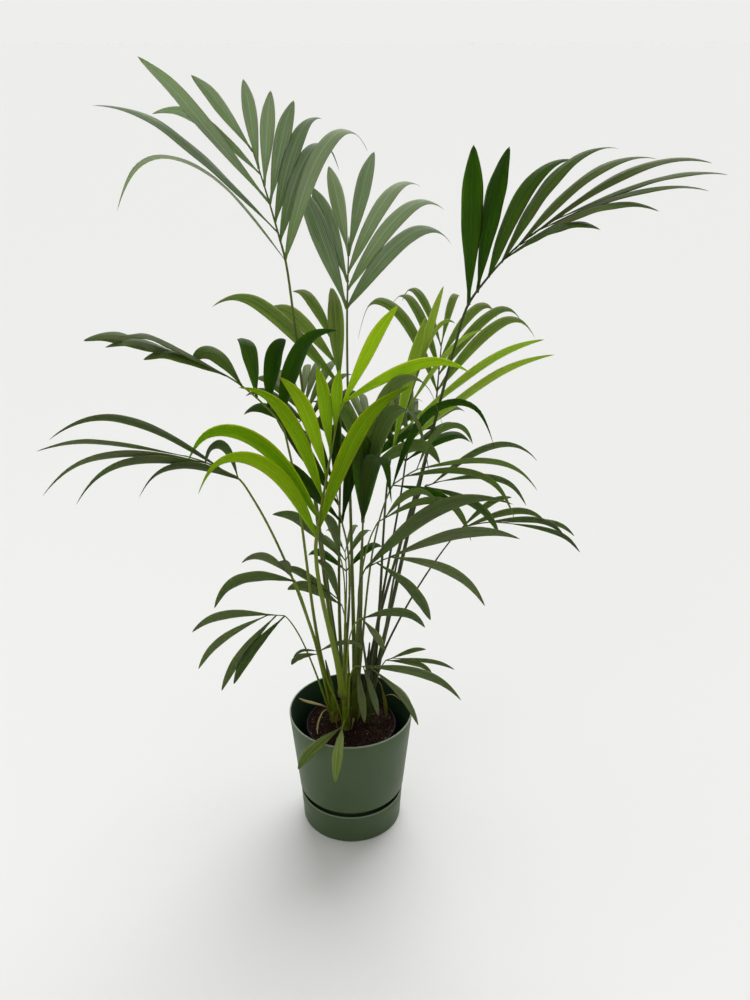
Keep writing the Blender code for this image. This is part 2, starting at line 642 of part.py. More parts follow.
def place_leaves(ribs, solids):
    """Give each leaflet the first of its tries that touches nothing of another piece."""
    rib_trees = {name: rib_tree(*rib, LEAF_MARGIN) for name, rib in ribs.items()}
    fixed = [tree_of(solid) for solid in solids]
    leaves, leaf_trees = {}, {}
    skipped = 0
    for name, frond in FRONDS.items():
        frames = midrib_frames(frond)
        others = fixed + [tree for rib, tree in rib_trees.items() if rib != name]
        others += list(leaf_trees.values())
        mine = bmesh.new()
        leaves[name] = []
        for hand, along_midrib, angle, length, droop, roll in fan_leaves(frond):
            for more_angle, more_lift, keep in LEAF_TRIES:
                rows = leaf_rows(
                    frond, frames, hand, along_midrib, angle + more_angle, length * keep,
                    droop, roll, frond.lift + more_lift)
                half_width = frond.width / 2 * (0.6 + 0.4 * min(length * keep / 0.2, 1.0))
                half_width *= 1 - 0.3 * along_midrib
                depth = LEAF_DEPTH_SHARE * length
                trial = bmesh.new()
                blade(trial, rows, half_width + LEAF_MARGIN, depth + 2 * LEAF_MARGIN)
                tree = tree_of(trial)
                trial.free()
                if not any(tree.overlap(other) for other in others):
                    blade(mine, rows, half_width + LEAF_MARGIN, depth + 2 * LEAF_MARGIN)
                    leaves[name].append((rows, half_width, depth))
                    break
            else:
                skipped += 1
        leaf_trees[name] = tree_of(mine)
        mine.free()
    print("leaflets", sum(len(found) for found in leaves.values()), "skipped", skipped)
    return leaves


def largest_body(obj):
    """Keep only the biggest closed body of a mesh: scraps and sealed hollows go."""
    work = bmesh.new()
    work.from_mesh(obj.data)
    left = set(work.verts)
    bodies = []
    while left:
        body, front = set(), [left.pop()]
        while front:
            vertex = front.pop()
            body.add(vertex)
            for edge in vertex.link_edges:
                other = edge.other_vert(vertex)
                if other in left:
                    left.discard(other)
                    front.append(other)
        bodies.append(body)
    bodies.sort(key=lambda body: -len(body))
    for body in bodies[1:]:
        bmesh.ops.delete(work, geom=list(body), context="VERTS")
    work.to_mesh(obj.data)
    work.free()
    return len(bodies) - 1


def make_frond(name, frond, rib, leaves):
    """One frond: its stalk, midrib and leaflets joined into one closed body."""
    points, radii, out = rib
    work = bmesh.new()
    tube(work, points, radii, RIB_SIDES, out)
    bmesh.ops.recalc_face_normals(work, faces=work.faces)
    obj = object_of(name, work, frond.tint)
    blades = bpy.data.collections.new(name + "_blades")
    for rows, half_width, depth in leaves:
        work = bmesh.new()
        blade(work, rows, half_width, depth)
        bmesh.ops.recalc_face_normals(work, faces=work.faces)
        leaf = object_of("blade", work, frond.tint)
        bpy.context.scene.collection.objects.unlink(leaf)
        blades.objects.link(leaf)
    bpy.context.scene.collection.children.link(blades)
    join = obj.modifiers.new("join", "BOOLEAN")
    join.operation = "UNION"
    join.operand_type = "COLLECTION"
    join.collection = blades
    join.solver = "EXACT"
    seen = bpy.context.evaluated_depsgraph_get()
    joined = bpy.data.meshes.new_from_object(obj.evaluated_get(seen))
    obj.modifiers.remove(join)
    obj.data = joined
    for leaf in list(blades.objects):
        bpy.data.objects.remove(leaf, do_unlink=True)
    bpy.data.collections.remove(blades)
    dropped = largest_body(obj)
    joined.set_sharp_from_angle(angle=radians(35))
    return obj, dropped


def main():
    clear_scene()
    make_pots()
    for name, stem in STEMS.items():
        make_stem(name, stem)
    solids = []
    for obj in bpy.data.objects:
        work = bmesh.new()
        work.from_mesh(obj.data)
        solids.append(work)
    stem_trees = {
        obj.name[5:]: tree_of(work)
        for obj, work in zip(bpy.data.objects, solids) if obj.name.startswith("stem_")
    }
    ribs = place_ribs(stem_trees)
    leaves = place_leaves(ribs, solids)
    for work in solids:
        work.free()
    total = 0
    for name, frond in FRONDS.items():
        obj, dropped = make_frond(name, frond, ribs[name], leaves[name])
        triangles = sum(len(face.vertices) - 2 for face in obj.data.polygons)
        total += triangles
        print(name, len(leaves[name]), "leaflets", triangles, "triangles", dropped, "dropped")
    print("frond triangles", total)


main()
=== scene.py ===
# %% [markdown]
# # A potted kentia palm
# A kentia palm is a clump of slender fronds that rise on long stalks from a few short
# stems and arch outwards. The one here stands in a green plastic planter with its
# saucer. The plain solids of the whole plant are loaded first, as a fixed frame in
# metres with +Z up. Each of them is then replaced by a finer piece in the same place.

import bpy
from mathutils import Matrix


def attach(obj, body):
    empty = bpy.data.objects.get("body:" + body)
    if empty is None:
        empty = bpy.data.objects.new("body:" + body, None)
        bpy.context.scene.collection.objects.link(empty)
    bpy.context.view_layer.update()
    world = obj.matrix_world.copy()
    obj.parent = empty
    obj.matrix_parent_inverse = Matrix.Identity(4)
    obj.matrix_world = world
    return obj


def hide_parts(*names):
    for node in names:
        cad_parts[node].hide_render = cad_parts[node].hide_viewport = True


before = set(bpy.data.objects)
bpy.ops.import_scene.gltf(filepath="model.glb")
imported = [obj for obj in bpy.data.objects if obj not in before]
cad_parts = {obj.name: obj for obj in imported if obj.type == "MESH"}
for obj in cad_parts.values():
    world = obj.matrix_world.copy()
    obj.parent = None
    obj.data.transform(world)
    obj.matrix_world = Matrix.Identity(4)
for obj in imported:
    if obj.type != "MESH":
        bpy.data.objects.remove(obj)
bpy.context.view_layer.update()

# %% [markdown]
# ## Modules
# Blender's own modules make the meshes, the materials and the search trees that tell
# whether two pieces touch. Arrays of numbers work on all points of a leaflet at once,
# which keeps a plant of so many leaves quick to make.

# %% Modules
from collections import namedtuple
from itertools import product
from math import cos, pi, radians, sin

import bmesh
import bpy
import numpy as np
from mathutils import Matrix, Vector, noise
from mathutils.bvhtree import BVHTree

print("Blender", bpy.app.version_string)

# %% [markdown]
# ## The camera
# The plant was seen by someone who stands in front of it, with the eye at about 1.5 m,
# looking down a little. The pot's rim, lip and base are ellipses, and their flatness
# gives the height of the eye and the tilt. A focal length as long as the picture's long
# side keeps the fronds at the top as large as they look.

# %% Camera
CAMERA_PLACE = (0.049, -1.669, 1.506)
CAMERA_TILT = 65.02
PICTURE_LONG_SIDE = 36.0

camera_data = bpy.data.cameras.new("camera")
camera_data.lens = PICTURE_LONG_SIDE
camera_data.sensor_width = PICTURE_LONG_SIDE
camera = bpy.data.objects.new("camera", camera_data)
camera.location = CAMERA_PLACE
camera.rotation_euler = (radians(CAMERA_TILT), 0, 0)
bpy.context.scene.collection.objects.link(camera)
bpy.context.scene.camera = camera
print("camera", CAMERA_PLACE, "tilt", CAMERA_TILT)

# %% [markdown]
# ## Helpers for nodes
# Each finish is a small tree of nodes. Writing a tree by hand is mostly making a node,
# setting its inputs and joining sockets, so one short helper does these at once, and a
# few more stand for the nodes that come most often. The sky is such a tree too.

# %% Node helpers


def fill(node, inputs):
    """Give a node's inputs their numbers or colours, or the sockets that they read."""
    for key, value in inputs.items():
        if isinstance(value, bpy.types.NodeSocket):
            node.id_data.links.new(value, node.inputs[key])
        else:
            node.inputs[key].default_value = value


def add_node(owner, kind, inputs=None, output=0, **settings):
    """Add a node with its settings and inputs, and return one of its outputs."""
    node = owner.node_tree.nodes.new("ShaderNode" + kind)
    for key, value in settings.items():
        setattr(node, key, value)
    fill(node, inputs or {})
    return node.outputs[output]


def calc(owner, operation, *values):
    """The result of a sum on numbers or sockets."""
    return add_node(owner, "Math", dict(enumerate(values)), operation=operation)


def remap(owner, value, low, high, new_low, new_high, **settings):
    """A value moved from one range to another, and kept inside it."""
    return add_node(owner, "MapRange", {
        "Value": value, "From Min": low, "From Max": high, "To Min": new_low,
        "To Max": new_high}, **settings)


def mix(owner, share, one, other, blend="MIX"):
    """A share of one colour over another."""
    return add_node(
        owner, "Mix", {0: share, 6: one, 7: other}, 2, data_type="RGBA", blend_type=blend)


def clouds(owner, place, scale, detail, roughness=0.5):
    """Soft noise at a place."""
    return add_node(owner, "TexNoise", {
        "Vector": place, "Scale": scale, "Detail": detail, "Roughness": roughness}, "Fac")


def ramp(owner, factor, stops):
    """A colour ramp through (place, colour) stops."""
    colour = add_node(owner, "ValToRGB", {"Fac": factor}, "Color")
    elements = colour.node.color_ramp.elements
    while len(elements) < len(stops):
        elements.new(0.5)
    for element, (place, shade) in zip(elements, stops):
        element.position = place
        element.color = (*shade, 1.0)
    return colour


print("node helpers ready")

# %% [markdown]
# ## Helpers for finishes
# Every finish of this plant starts plain, with one colour, roughness and sheen, and may
# then get a varied colour and a fine relief. The relief is a bump: it tilts the light on
# the surface and is far too fine to model. Leaves and stalks also let some light in.

# %% Finish helpers
SHADER = "Principled BSDF"


def scaled(colour, share):
    """A colour made darker or lighter."""
    return tuple(share * part for part in colour)


def new_material(name, colour, roughness, sheen):
    """A plain finish: its base colour, roughness and sheen."""
    material = bpy.data.materials.new(name)
    material.use_nodes = True
    fill(material.node_tree.nodes[SHADER], {
        "Base Color": (*colour, 1.0), "Roughness": roughness, "Specular IOR Level": sheen})
    return material


def dress(material, colour, roughness, height, strength, distance):
    """Give a finish its varied colour and roughness, and a fine relief from a height."""
    relief = add_node(
        material, "Bump", {"Height": height, "Strength": strength, "Distance": distance})
    fill(material.node_tree.nodes[SHADER], {
        "Base Color": colour, "Roughness": roughness, "Normal": relief})


def let_light_in(material, weight, radius):
    """Let some light pass into a thin green piece."""
    fill(material.node_tree.nodes[SHADER], {
        "Subsurface Weight": weight, "Subsurface Radius": radius, "Subsurface Scale": 0.5})


print("finish helpers ready")

# %% [markdown]
# ## Floor and light
# Thin leaves look their best in soft light that comes from behind and above: it shines
# along their upper sides and leaves the near sides deep green. A sun that is spread over
# a broad patch of sky does that, and a weak lamp in front opens the shadows. The sky is
# bright behind the plant and dimmer behind the viewer, because a sky of one white would
# lie on every leaf as a grey film. Where the sky is seen directly it is the same near
# white on all sides, and the floor is pale, plain and wide, so that its far edge melts
# into it. The picture is shown without a film look, which would grey the greens.

# %% Floor and light
FLOOR_SIDE = 400.0
FLOOR_PAINT = (0.76, 0.76, 0.755)
SUN_FROM = (0.75, 3.0, 2.85)
SUN_SPREAD = 55.0
SUN_STRENGTH = 2.4
LAMP_FROM = (-1.4, -2.3, 2.3)
LAMP_AIM = (0.0, 0.0, 0.7)
LAMP_SIZE = (2.2, 1.6)
LAMP_POWER = 14.0
SKY_BEHIND_PLANT = (0.853, 0.860, 0.842)
SKY_BEHIND_VIEWER = (0.34, 0.34, 0.32)


def add_lamp(name, kind, place, aim, power):
    """A lamp at a place, turned towards what it lights."""
    data = bpy.data.lights.new(name, kind)
    data.energy = power
    lamp = bpy.data.objects.new(name, data)
    lamp.location = place
    lamp.rotation_euler = (Vector(aim) - Vector(place)).to_track_quat("-Z", "Y").to_euler()
    bpy.context.scene.collection.objects.link(lamp)
    return data


bpy.ops.object.select_all(action="DESELECT")
bpy.ops.mesh.primitive_plane_add(size=FLOOR_SIDE)
floor = bpy.context.object
floor.name = "floor"
floor.data.materials.append(new_material("floor_paint", FLOOR_PAINT, 1.0, 0.0))

sun = add_lamp("back_light", "SUN", SUN_FROM, (0, 0, 0), SUN_STRENGTH)
sun.angle = radians(SUN_SPREAD)
front = add_lamp("front_light", "AREA", LAMP_FROM, LAMP_AIM, LAMP_POWER)
front.shape, (front.size, front.size_y) = "RECTANGLE", LAMP_SIZE

sky = bpy.data.worlds.new("sky")
sky.use_nodes = True
direction = add_node(sky, "TexCoord", output="Generated")
away = add_node(sky, "SeparateXYZ", {"Vector": direction}, "Y")
behind_plant = remap(sky, away, -0.5, 0.5, 0.0, 1.0, interpolation_type="SMOOTHSTEP")
seen = add_node(sky, "LightPath", output="Is Camera Ray")
sky_colour = mix(
    sky, calc(sky, "MAXIMUM", behind_plant, seen),
    (*SKY_BEHIND_VIEWER, 1.0), (*SKY_BEHIND_PLANT, 1.0))
fill(sky.node_tree.nodes["Background"], {"Color": sky_colour})
bpy.context.scene.world = sky
bpy.context.scene.view_settings.view_transform = "Standard"
print("a soft sun of", SUN_STRENGTH, "a front lamp of", LAMP_POWER, "and the sky")

# %% [markdown]
# ## Green plastic
# The planter and saucer are dyed plastic with a dull, slightly leathery skin. The colour
# hardly changes over the wall, so the life is in the surface: a very fine grain in the
# normal and a little unevenness in the gloss. A paler line at each moulded edge is a
# painted highlight, and the edges are found by height, from Object coordinates. The
# planter's inside has a darker copy of the green, which is painted shade.

# %% Green plastic
PLASTIC_GREEN = (0.057, 0.092, 0.037)
# The darker green of the planter's inside is painted shade.
PLASTIC_PAINTED_SHADE = (0.020, 0.046, 0.020)
# The paler colours at the moulded edges are a painted highlight.
PLASTIC_PAINTED_HIGHLIGHT = (0.170, 0.210, 0.140)
PLASTIC_BLACK, BLACK_PAINTED_HIGHLIGHT = (0.006, 0.007, 0.006), (0.010, 0.011, 0.010)
PLASTIC_SHEEN = 0.28
EDGE_HEIGHTS = (0.0012, 0.0675, 0.2595)
EDGE_REACH = 0.0016


def plastic(name, green, painted_highlight, roughness):
    """Dull moulded plastic with a fine grain, and a painted highlight: paler lines at the rims."""
    material = new_material(name, green, roughness, PLASTIC_SHEEN)
    place = add_node(material, "TexCoord", output="Object")
    height = add_node(material, "SeparateXYZ", {"Vector": place}, "Z")
    cloud = ramp(material, clouds(material, place, 9.0, 3.0), [
        (0.3, scaled(green, 0.93)), (0.7, scaled(green, 1.07))])
    # Near each moulded edge the colour turns paler: a painted highlight.
    edge = 0.0
    for level in EDGE_HEIGHTS:
        near = calc(material, "COMPARE", height, level, EDGE_REACH)
        edge = calc(material, "MAXIMUM", edge, near)
    gloss = remap(
        material, clouds(material, place, 55.0, 4.0), 0.0, 1.0, roughness - 0.05, roughness + 0.07)
    grain = clouds(material, place, 850.0, 2.0)
    dress(material, mix(material, edge, cloud, (*painted_highlight, 1.0)), gloss, grain, 0.25, 0.0004)
    return material


green_plastic = plastic("green_plastic", PLASTIC_GREEN, PLASTIC_PAINTED_HIGHLIGHT, 0.46)
# The planter's inside takes a darker copy of the green, as painted shade.
shaded_inner_plastic = plastic("shaded_inner_plastic", PLASTIC_PAINTED_SHADE, PLASTIC_PAINTED_SHADE, 0.55)
black_plastic = plastic("black_plastic", PLASTIC_BLACK, BLACK_PAINTED_HIGHLIGHT, 0.60)
print("plastics", green_plastic.name, shaded_inner_plastic.name, black_plastic.name)

# %% [markdown]
# ## A pot, drawn up from a disc
# A potter opens a disc of clay and draws up its wall. The same works in Blender: a flat
# round face is extruded and resized level by level, up the outside, over the rim and
# down the inside, and its last copy is the floor of the pot. The wall then has its true
# thickness and no seam. A small bevel rounds the moulded edges.

# %% Pot helper
POT_SIDES_FINE = 160
SHARP_EDGE = 38
SMOOTH_UP_TO = 40


def drawn_up(name, levels, finish, edge):
    """A round closed shell from (radius, height) levels, its edges rounded by edge."""
    bpy.ops.object.select_all(action="DESELECT")
    radius, height = levels[0]
    bpy.ops.mesh.primitive_circle_add(
        vertices=POT_SIDES_FINE, radius=radius, fill_type="NGON", location=(0, 0, height))
    piece = bpy.context.object
    piece.name = name
    bpy.ops.object.mode_set(mode="EDIT")
    bpy.ops.mesh.select_mode(type="FACE")
    bpy.ops.mesh.select_all(action="SELECT")
    for next_radius, next_height in levels[1:]:
        bpy.ops.mesh.extrude_region_move(
            TRANSFORM_OT_translate={"value": (0, 0, next_height - height)})
        share = next_radius / radius
        bpy.ops.transform.resize(value=(share, share, 1), center_override=(0, 0, next_height))
        radius, height = next_radius, next_height
    bpy.ops.mesh.select_all(action="SELECT")
    bpy.ops.mesh.normals_make_consistent(inside=False)
    bpy.ops.object.mode_set(mode="OBJECT")
    bpy.ops.object.transform_apply(location=True, rotation=True, scale=True)
    if edge:
        bevel = piece.modifiers.new("rounded", "BEVEL")
        bevel.width = edge
        bevel.segments = 3
        bevel.limit_method = "ANGLE"
        bevel.angle_limit = radians(SHARP_EDGE)
        bpy.ops.object.modifier_apply(modifier=bevel.name)
    bpy.ops.object.shade_smooth_by_angle(angle=radians(SMOOTH_UP_TO))
    piece.data.materials.append(finish)
    return piece


print("pots have", POT_SIDES_FINE, "sides")

# %% [markdown]
# ## Handing a piece over
# A finished piece rides with the plant, which moves as one body, and stands for the
# plain solids that it replaces.

# %% Hand over a piece


def hand_over(piece, slot, *nodes):
    """Give a finished piece to the plant: it rides with it and stands for those solids."""
    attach(piece, "root")
    if nodes:
        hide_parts(*nodes)
    print(piece.name, len(piece.data.polygons), "faces for", len(nodes), "solids")


print("solids to replace", len(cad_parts))

# %% [markdown]
# ## The planter
# The planter is a cone whose lower edge turns in under a soft round, to a neck that sits
# down inside the saucer. Its levels follow the plain solid, with more of them round the
# lower edge, so that the round reads as one smooth curve from the front.

# %% Planter
PLANTER_LEVELS = (
    (0.0860, 0.0043), (0.0900, 0.0083), (0.0920, 0.0660), (0.0945, 0.0712), (0.0985, 0.0750),
    (0.1025, 0.0772), (0.1052, 0.0792), (0.1070, 0.0816), (0.1080, 0.0850), (0.1121, 0.1270),
    (0.1163, 0.1700), (0.1206, 0.2140), (0.1250, 0.2590), (0.1247, 0.2600), (0.1223, 0.2600),
    (0.1220, 0.2590), (0.1176, 0.2140), (0.1090, 0.1270), (0.1048, 0.0850), (0.1010, 0.0800),
    (0.0890, 0.0730), (0.0868, 0.0660), (0.0850, 0.0085),
)
MOULDED_EDGE = 0.0004
INSIDE_BELOW = 0.2560

planter_piece = drawn_up("planter_wall", PLANTER_LEVELS, green_plastic, MOULDED_EDGE)
# Faces that look inwards, below the rim, take the darker copy: painted shade.
planter_piece.data.materials.append(shaded_inner_plastic)
for face in planter_piece.data.polygons:
    inwards = face.normal.x * face.center.x + face.normal.y * face.center.y < 0
    if inwards and face.center.z < INSIDE_BELOW:
        face.material_index = 1
hand_over(planter_piece, "planter_plastic", "planter")

# %% [markdown]
# ## The saucer
# The saucer is a low ring, a little wider at its rim than at its foot, with a thin wall
# and a flat floor. It is drawn up the same way. Its foot edge is rounded and catches the
# light, and a painted highlight at that height in its finish adds a pale line round it
# just above the floor.

# %% Saucer
SAUCER_LEVELS = (
    (0.0985, 0.0), (0.1010, 0.0004), (0.1020, 0.0018), (0.1030, 0.0200), (0.1045, 0.0440),
    (0.1060, 0.0672), (0.1056, 0.0680), (0.1036, 0.0680), (0.1031, 0.0672), (0.1012, 0.0440),
    (0.0994, 0.0060), (0.0980, 0.0040),
)
saucer_piece = drawn_up("saucer_ring", SAUCER_LEVELS, green_plastic, MOULDED_EDGE)
hand_over(saucer_piece, "planter_plastic", "saucer")

# %% [markdown]
# ## The black nursery pot
# Inside the planter stands the thin black pot that the palm was grown in. Only its upper
# edge shows, as a dark ring round the soil, so that edge gets the rolled lip that such
# pots have, and the wall below it stays plain.

# %% Nursery pot
NURSERY_LEVELS = (
    (0.0700, 0.0086), (0.0885, 0.2000), (0.0888, 0.2130), (0.0910, 0.2140), (0.0910, 0.2245),
    (0.0905, 0.2250), (0.0898, 0.2250), (0.0894, 0.2245), (0.0884, 0.2120), (0.0868, 0.2000),
    (0.0685, 0.0101),
)
nursery_piece = drawn_up("nursery_liner", NURSERY_LEVELS, black_plastic, 0.0)
hand_over(nursery_piece, "nursery_plastic", "nursery_pot")

# %% [markdown]
# ## Soil
# Potting soil is a dark, uneven bed of crumbs, bark and fibre with a few white grains of
# perlite. The bed is drawn up like a pot and then closed by ring after ring, and its top
# is lifted in code by two sizes of noise into a low, bumpy mound.

# %% Soil bed
SOIL_TOP = 0.220
SOIL_EDGE = 0.0884
SOIL_RINGS = 22
SOIL_MOUND = 0.0045
SOIL_RELIEF = 0.0035
SOIL_SHEEN = 0.10


def soil_height(x, y):
    """The height of the soil's surface at a place."""
    far = (x * x + y * y) ** 0.5 / SOIL_EDGE
    broad = noise.noise(Vector((x * 22, y * 22, 3.1)))
    fine = noise.noise(Vector((x * 95, y * 95, 7.7)))
    mound = SOIL_MOUND * (1 - far * far)
    return SOIL_TOP + mound + SOIL_RELIEF * (broad * 0.8 + fine * 0.55) * (1 - far ** 4)


def soil_finish(name, dark, pale, roughness):
    """Crumbly soil: two browns in small patches, rough, with a strong fine relief."""
    material = new_material(name, dark, roughness, SOIL_SHEEN)
    place = add_node(material, "TexCoord", output="Object")
    patches = ramp(material, clouds(material, place, 260.0, 5.0), [(0.38, dark), (0.72, pale)])
    lumps = add_node(material, "TexVoronoi", {"Vector": place, "Scale": 420.0}, "Distance")
    dress(material, patches, roughness, lumps, 0.8, 0.001)
    return material


soil_brown = soil_finish("soil_brown", (0.009, 0.004, 0.003), (0.034, 0.014, 0.008), 0.92)
soil_bark = soil_finish("soil_bark", (0.026, 0.012, 0.007), (0.075, 0.036, 0.020), 0.85)
perlite = soil_finish("perlite", (0.30, 0.27, 0.23), (0.50, 0.46, 0.40), 0.8)

soil_levels = [(0.0678, 0.0104), (0.0883, 0.2180), (SOIL_EDGE, SOIL_TOP)]
soil_levels += [
    (SOIL_EDGE * (1 - ring / SOIL_RINGS), SOIL_TOP) for ring in range(1, SOIL_RINGS)]
soil_piece = drawn_up("soil_bed", soil_levels, soil_brown, 0.0)
for vertex in soil_piece.data.vertices:
    if vertex.co.z > SOIL_TOP - 0.0001:
        vertex.co.z = soil_height(vertex.co.x, vertex.co.y)
hand_over(soil_piece, "soil", "soil")

# %% [markdown]
# ## Many small pieces, joined
# There are over two thousand crumbs on the soil and more than a hundred leaflets. Each is
# made from a few arrays, and hundreds of objects would only be in the way, so small
# meshes are gathered one by one and joined as one object. A finish that follows the
# surface reads its map there, and may read a value that each small mesh has for itself.

# %% Joined pieces
BLADE_MAP = "blade"


class Gathered:
    """Small meshes gathered one by one, to be joined as one piece."""

    def __init__(self):
        self.points, self.faces, self.kinds, self.maps, self.values = [], [], [], [], {}
        self.total = 0

    def add(self, points, faces, kinds, flat=None, **values):
        """Take one mesh: its finish, or that of each face, its map and its own values."""
        self.faces += [[corner + self.total for corner in face] for face in faces]
        self.kinds += [kinds] * len(faces) if isinstance(kinds, int) else kinds
        self.points.append(points)
        self.total += len(points)
        if flat is not None:
            self.maps.append(flat)
        for name, value in values.items():
            self.values.setdefault(name, []).append(np.full(len(points), value))

    def join(self, name, finishes, smooth=True):
        """Make the one object."""
        mesh = bpy.data.meshes.new(name)
        mesh.from_pydata(np.concatenate(self.points).tolist(), [], self.faces)
        for finish in finishes:
            mesh.materials.append(finish)
        mesh.polygons.foreach_set("material_index", np.array(self.kinds, dtype=np.int32))
        if smooth:
            mesh.shade_smooth()
        mesh.update()
        if self.maps:
            corners = np.empty(len(mesh.loops), dtype=np.int32)
            mesh.loops.foreach_get("vertex_index", corners)
            flat = np.concatenate(self.maps)[corners].astype(np.float32)
            mesh.uv_layers.new(name=BLADE_MAP).data.foreach_set("uv", flat.ravel())
        for key, parts in self.values.items():
            layer = mesh.attributes.new(key, "FLOAT", "POINT")
            layer.data.foreach_set("value", np.concatenate(parts).astype(np.float32))
        piece = bpy.data.objects.new(name, mesh)
        bpy.context.scene.collection.objects.link(piece)
        return piece


print("a small mesh may carry the map", BLADE_MAP)

# %% [markdown]
# ## Rings of points
# Leaflets, stalks and stems are all tubes: rings of points along a line. Four points of
# two neighbouring rings make a face. Seen from outside, a face's points run against the
# clock, so a tube whose rings run the other way round needs its faces turned.

# %% Tubes of rings


def side_faces(stations, count, turned=False):
    """The faces between rings of points that follow one another."""
    faces = []
    for low in range(0, (stations - 1) * count, count):
        for corner in range(count):
            after = (corner + 1) % count
            face = [low + corner, low + after, low + count + after, low + count + corner]
            faces.append(face[:1] + face[:0:-1] if turned else face)
    return faces


def tube_faces(stations, count, turned=False):
    """The faces of a closed tube of rings: its sides and then its two ends."""
    ends = [list(range(first, first + count)) for first in (0, (stations - 1) * count)]
    ends[int(turned)].reverse()
    return side_faces(stations, count, turned) + ends


def tube_map(stations, count):
    """A tube's map: U runs round it and V along."""
    return np.stack([
        np.tile(np.arange(count) / count, stations),
        np.repeat(np.linspace(0, 1, stations), count)], axis=1)


print("a tube of 3 rings of 4 points has", len(tube_faces(3, 4)), "faces")

# %% [markdown]
# ## Crumbs on the soil
# The loose crumbs lie on the bed at its own height, each one turned and stretched by a
# seeded draw. A few are long thin fibres of bark, and a few are pale grains.

# %% Soil crumbs
CRUMB_COUNT = 2300
FIBRE_COUNT = 150
PERLITE_COUNT = 70
CRUMB, FIBRE, GRAIN = 0, 1, 2
CRUMB_SEED = 11

work = bmesh.new()
bmesh.ops.create_icosphere(work, subdivisions=1, radius=1.0)
stone_points = np.array([vertex.co[:] for vertex in work.verts])
stone_faces = [[vertex.index for vertex in face.verts] for face in work.faces]
work.free()

draw = np.random.default_rng(CRUMB_SEED)
crumbs = Gathered()
for kind in [CRUMB] * CRUMB_COUNT + [FIBRE] * FIBRE_COUNT + [GRAIN] * PERLITE_COUNT:
    far = SOIL_EDGE * 0.985 * draw.random() ** 0.5
    turn = draw.random() * 2 * pi
    x, y = far * cos(turn), far * sin(turn)
    if kind == CRUMB:
        size = (0.0006 + 0.0022 * draw.random() ** 2) * np.array([1.0, 0.8, 0.7])
    elif kind == FIBRE:
        size = np.array([0.004 + 0.006 * draw.random(), 0.0005, 0.0004])
    else:
        size = (0.0006 + 0.0006 * draw.random()) * np.array([1.0, 0.9, 0.8])
    size = size * (0.8 + 0.4 * draw.random(3))
    spin = Matrix.Rotation(draw.random() * 2 * pi, 3, "Z")
    tip = Matrix.Rotation((draw.random() - 0.5) * (0.35 if kind == FIBRE else 2.4), 3, "Y")
    shape = stone_points * (1 + 0.25 * (draw.random((len(stone_points), 1)) - 0.5)) * size
    shape = shape @ np.array(spin @ tip).T
    crumbs.add(shape + np.array([x, y, soil_height(x, y) + 0.3 * size[2]]), stone_faces, kind)
crumbs_piece = crumbs.join("soil_crumbs", [soil_brown, soil_bark, perlite], smooth=False)
hand_over(crumbs_piece, "soil", "soil")

# %% [markdown]
# ## Where the palm grows: the stems' and fronds' named sizes
# The plain solids were laid out by a rule from one line of sizes for each stem and each
# frond. The same table is written here again, so that the fine leaflets grow in the same
# places. A stem has its foot, its height and its lean.

# %% Stems in numbers
GAP = 0.0003
STEM_FLARE_RADIUS = 0.0095
STEM_TOP_RADIUS = 0.0050
STEM_RINGS = 6
Stem = namedtuple("Stem", "x y height lean_x lean_y")
STEMS = {
    "left": Stem(-0.034, 0.008, 0.150, -0.016, 0.002),
    "front": Stem(-0.010, -0.014, 0.130, -0.004, -0.006),
    "middle": Stem(0.008, 0.018, 0.170, 0.000, 0.004),
    "right": Stem(0.034, 0.004, 0.150, 0.012, -0.002),
    "back_left": Stem(-0.014, 0.046, 0.160, -0.010, 0.010),
    "back_right": Stem(0.030, 0.046, 0.160, 0.008, 0.012),
}
print(len(STEMS), "stems")

# %% [markdown]
# ## The fronds
# A frond has the height on its stem where its stalk leaves, the crown where its leaflets
# begin, the midrib's direction and bend, and for each side a fan of leaflets: how many,
# key values spread evenly along it for their angles from the midrib, lengths, droops and
# rolls about their own length, and where the first and the last one grow as shares of
# the midrib. Then come a leaflet's width, lift and fold, the stalk's radius and the tint.

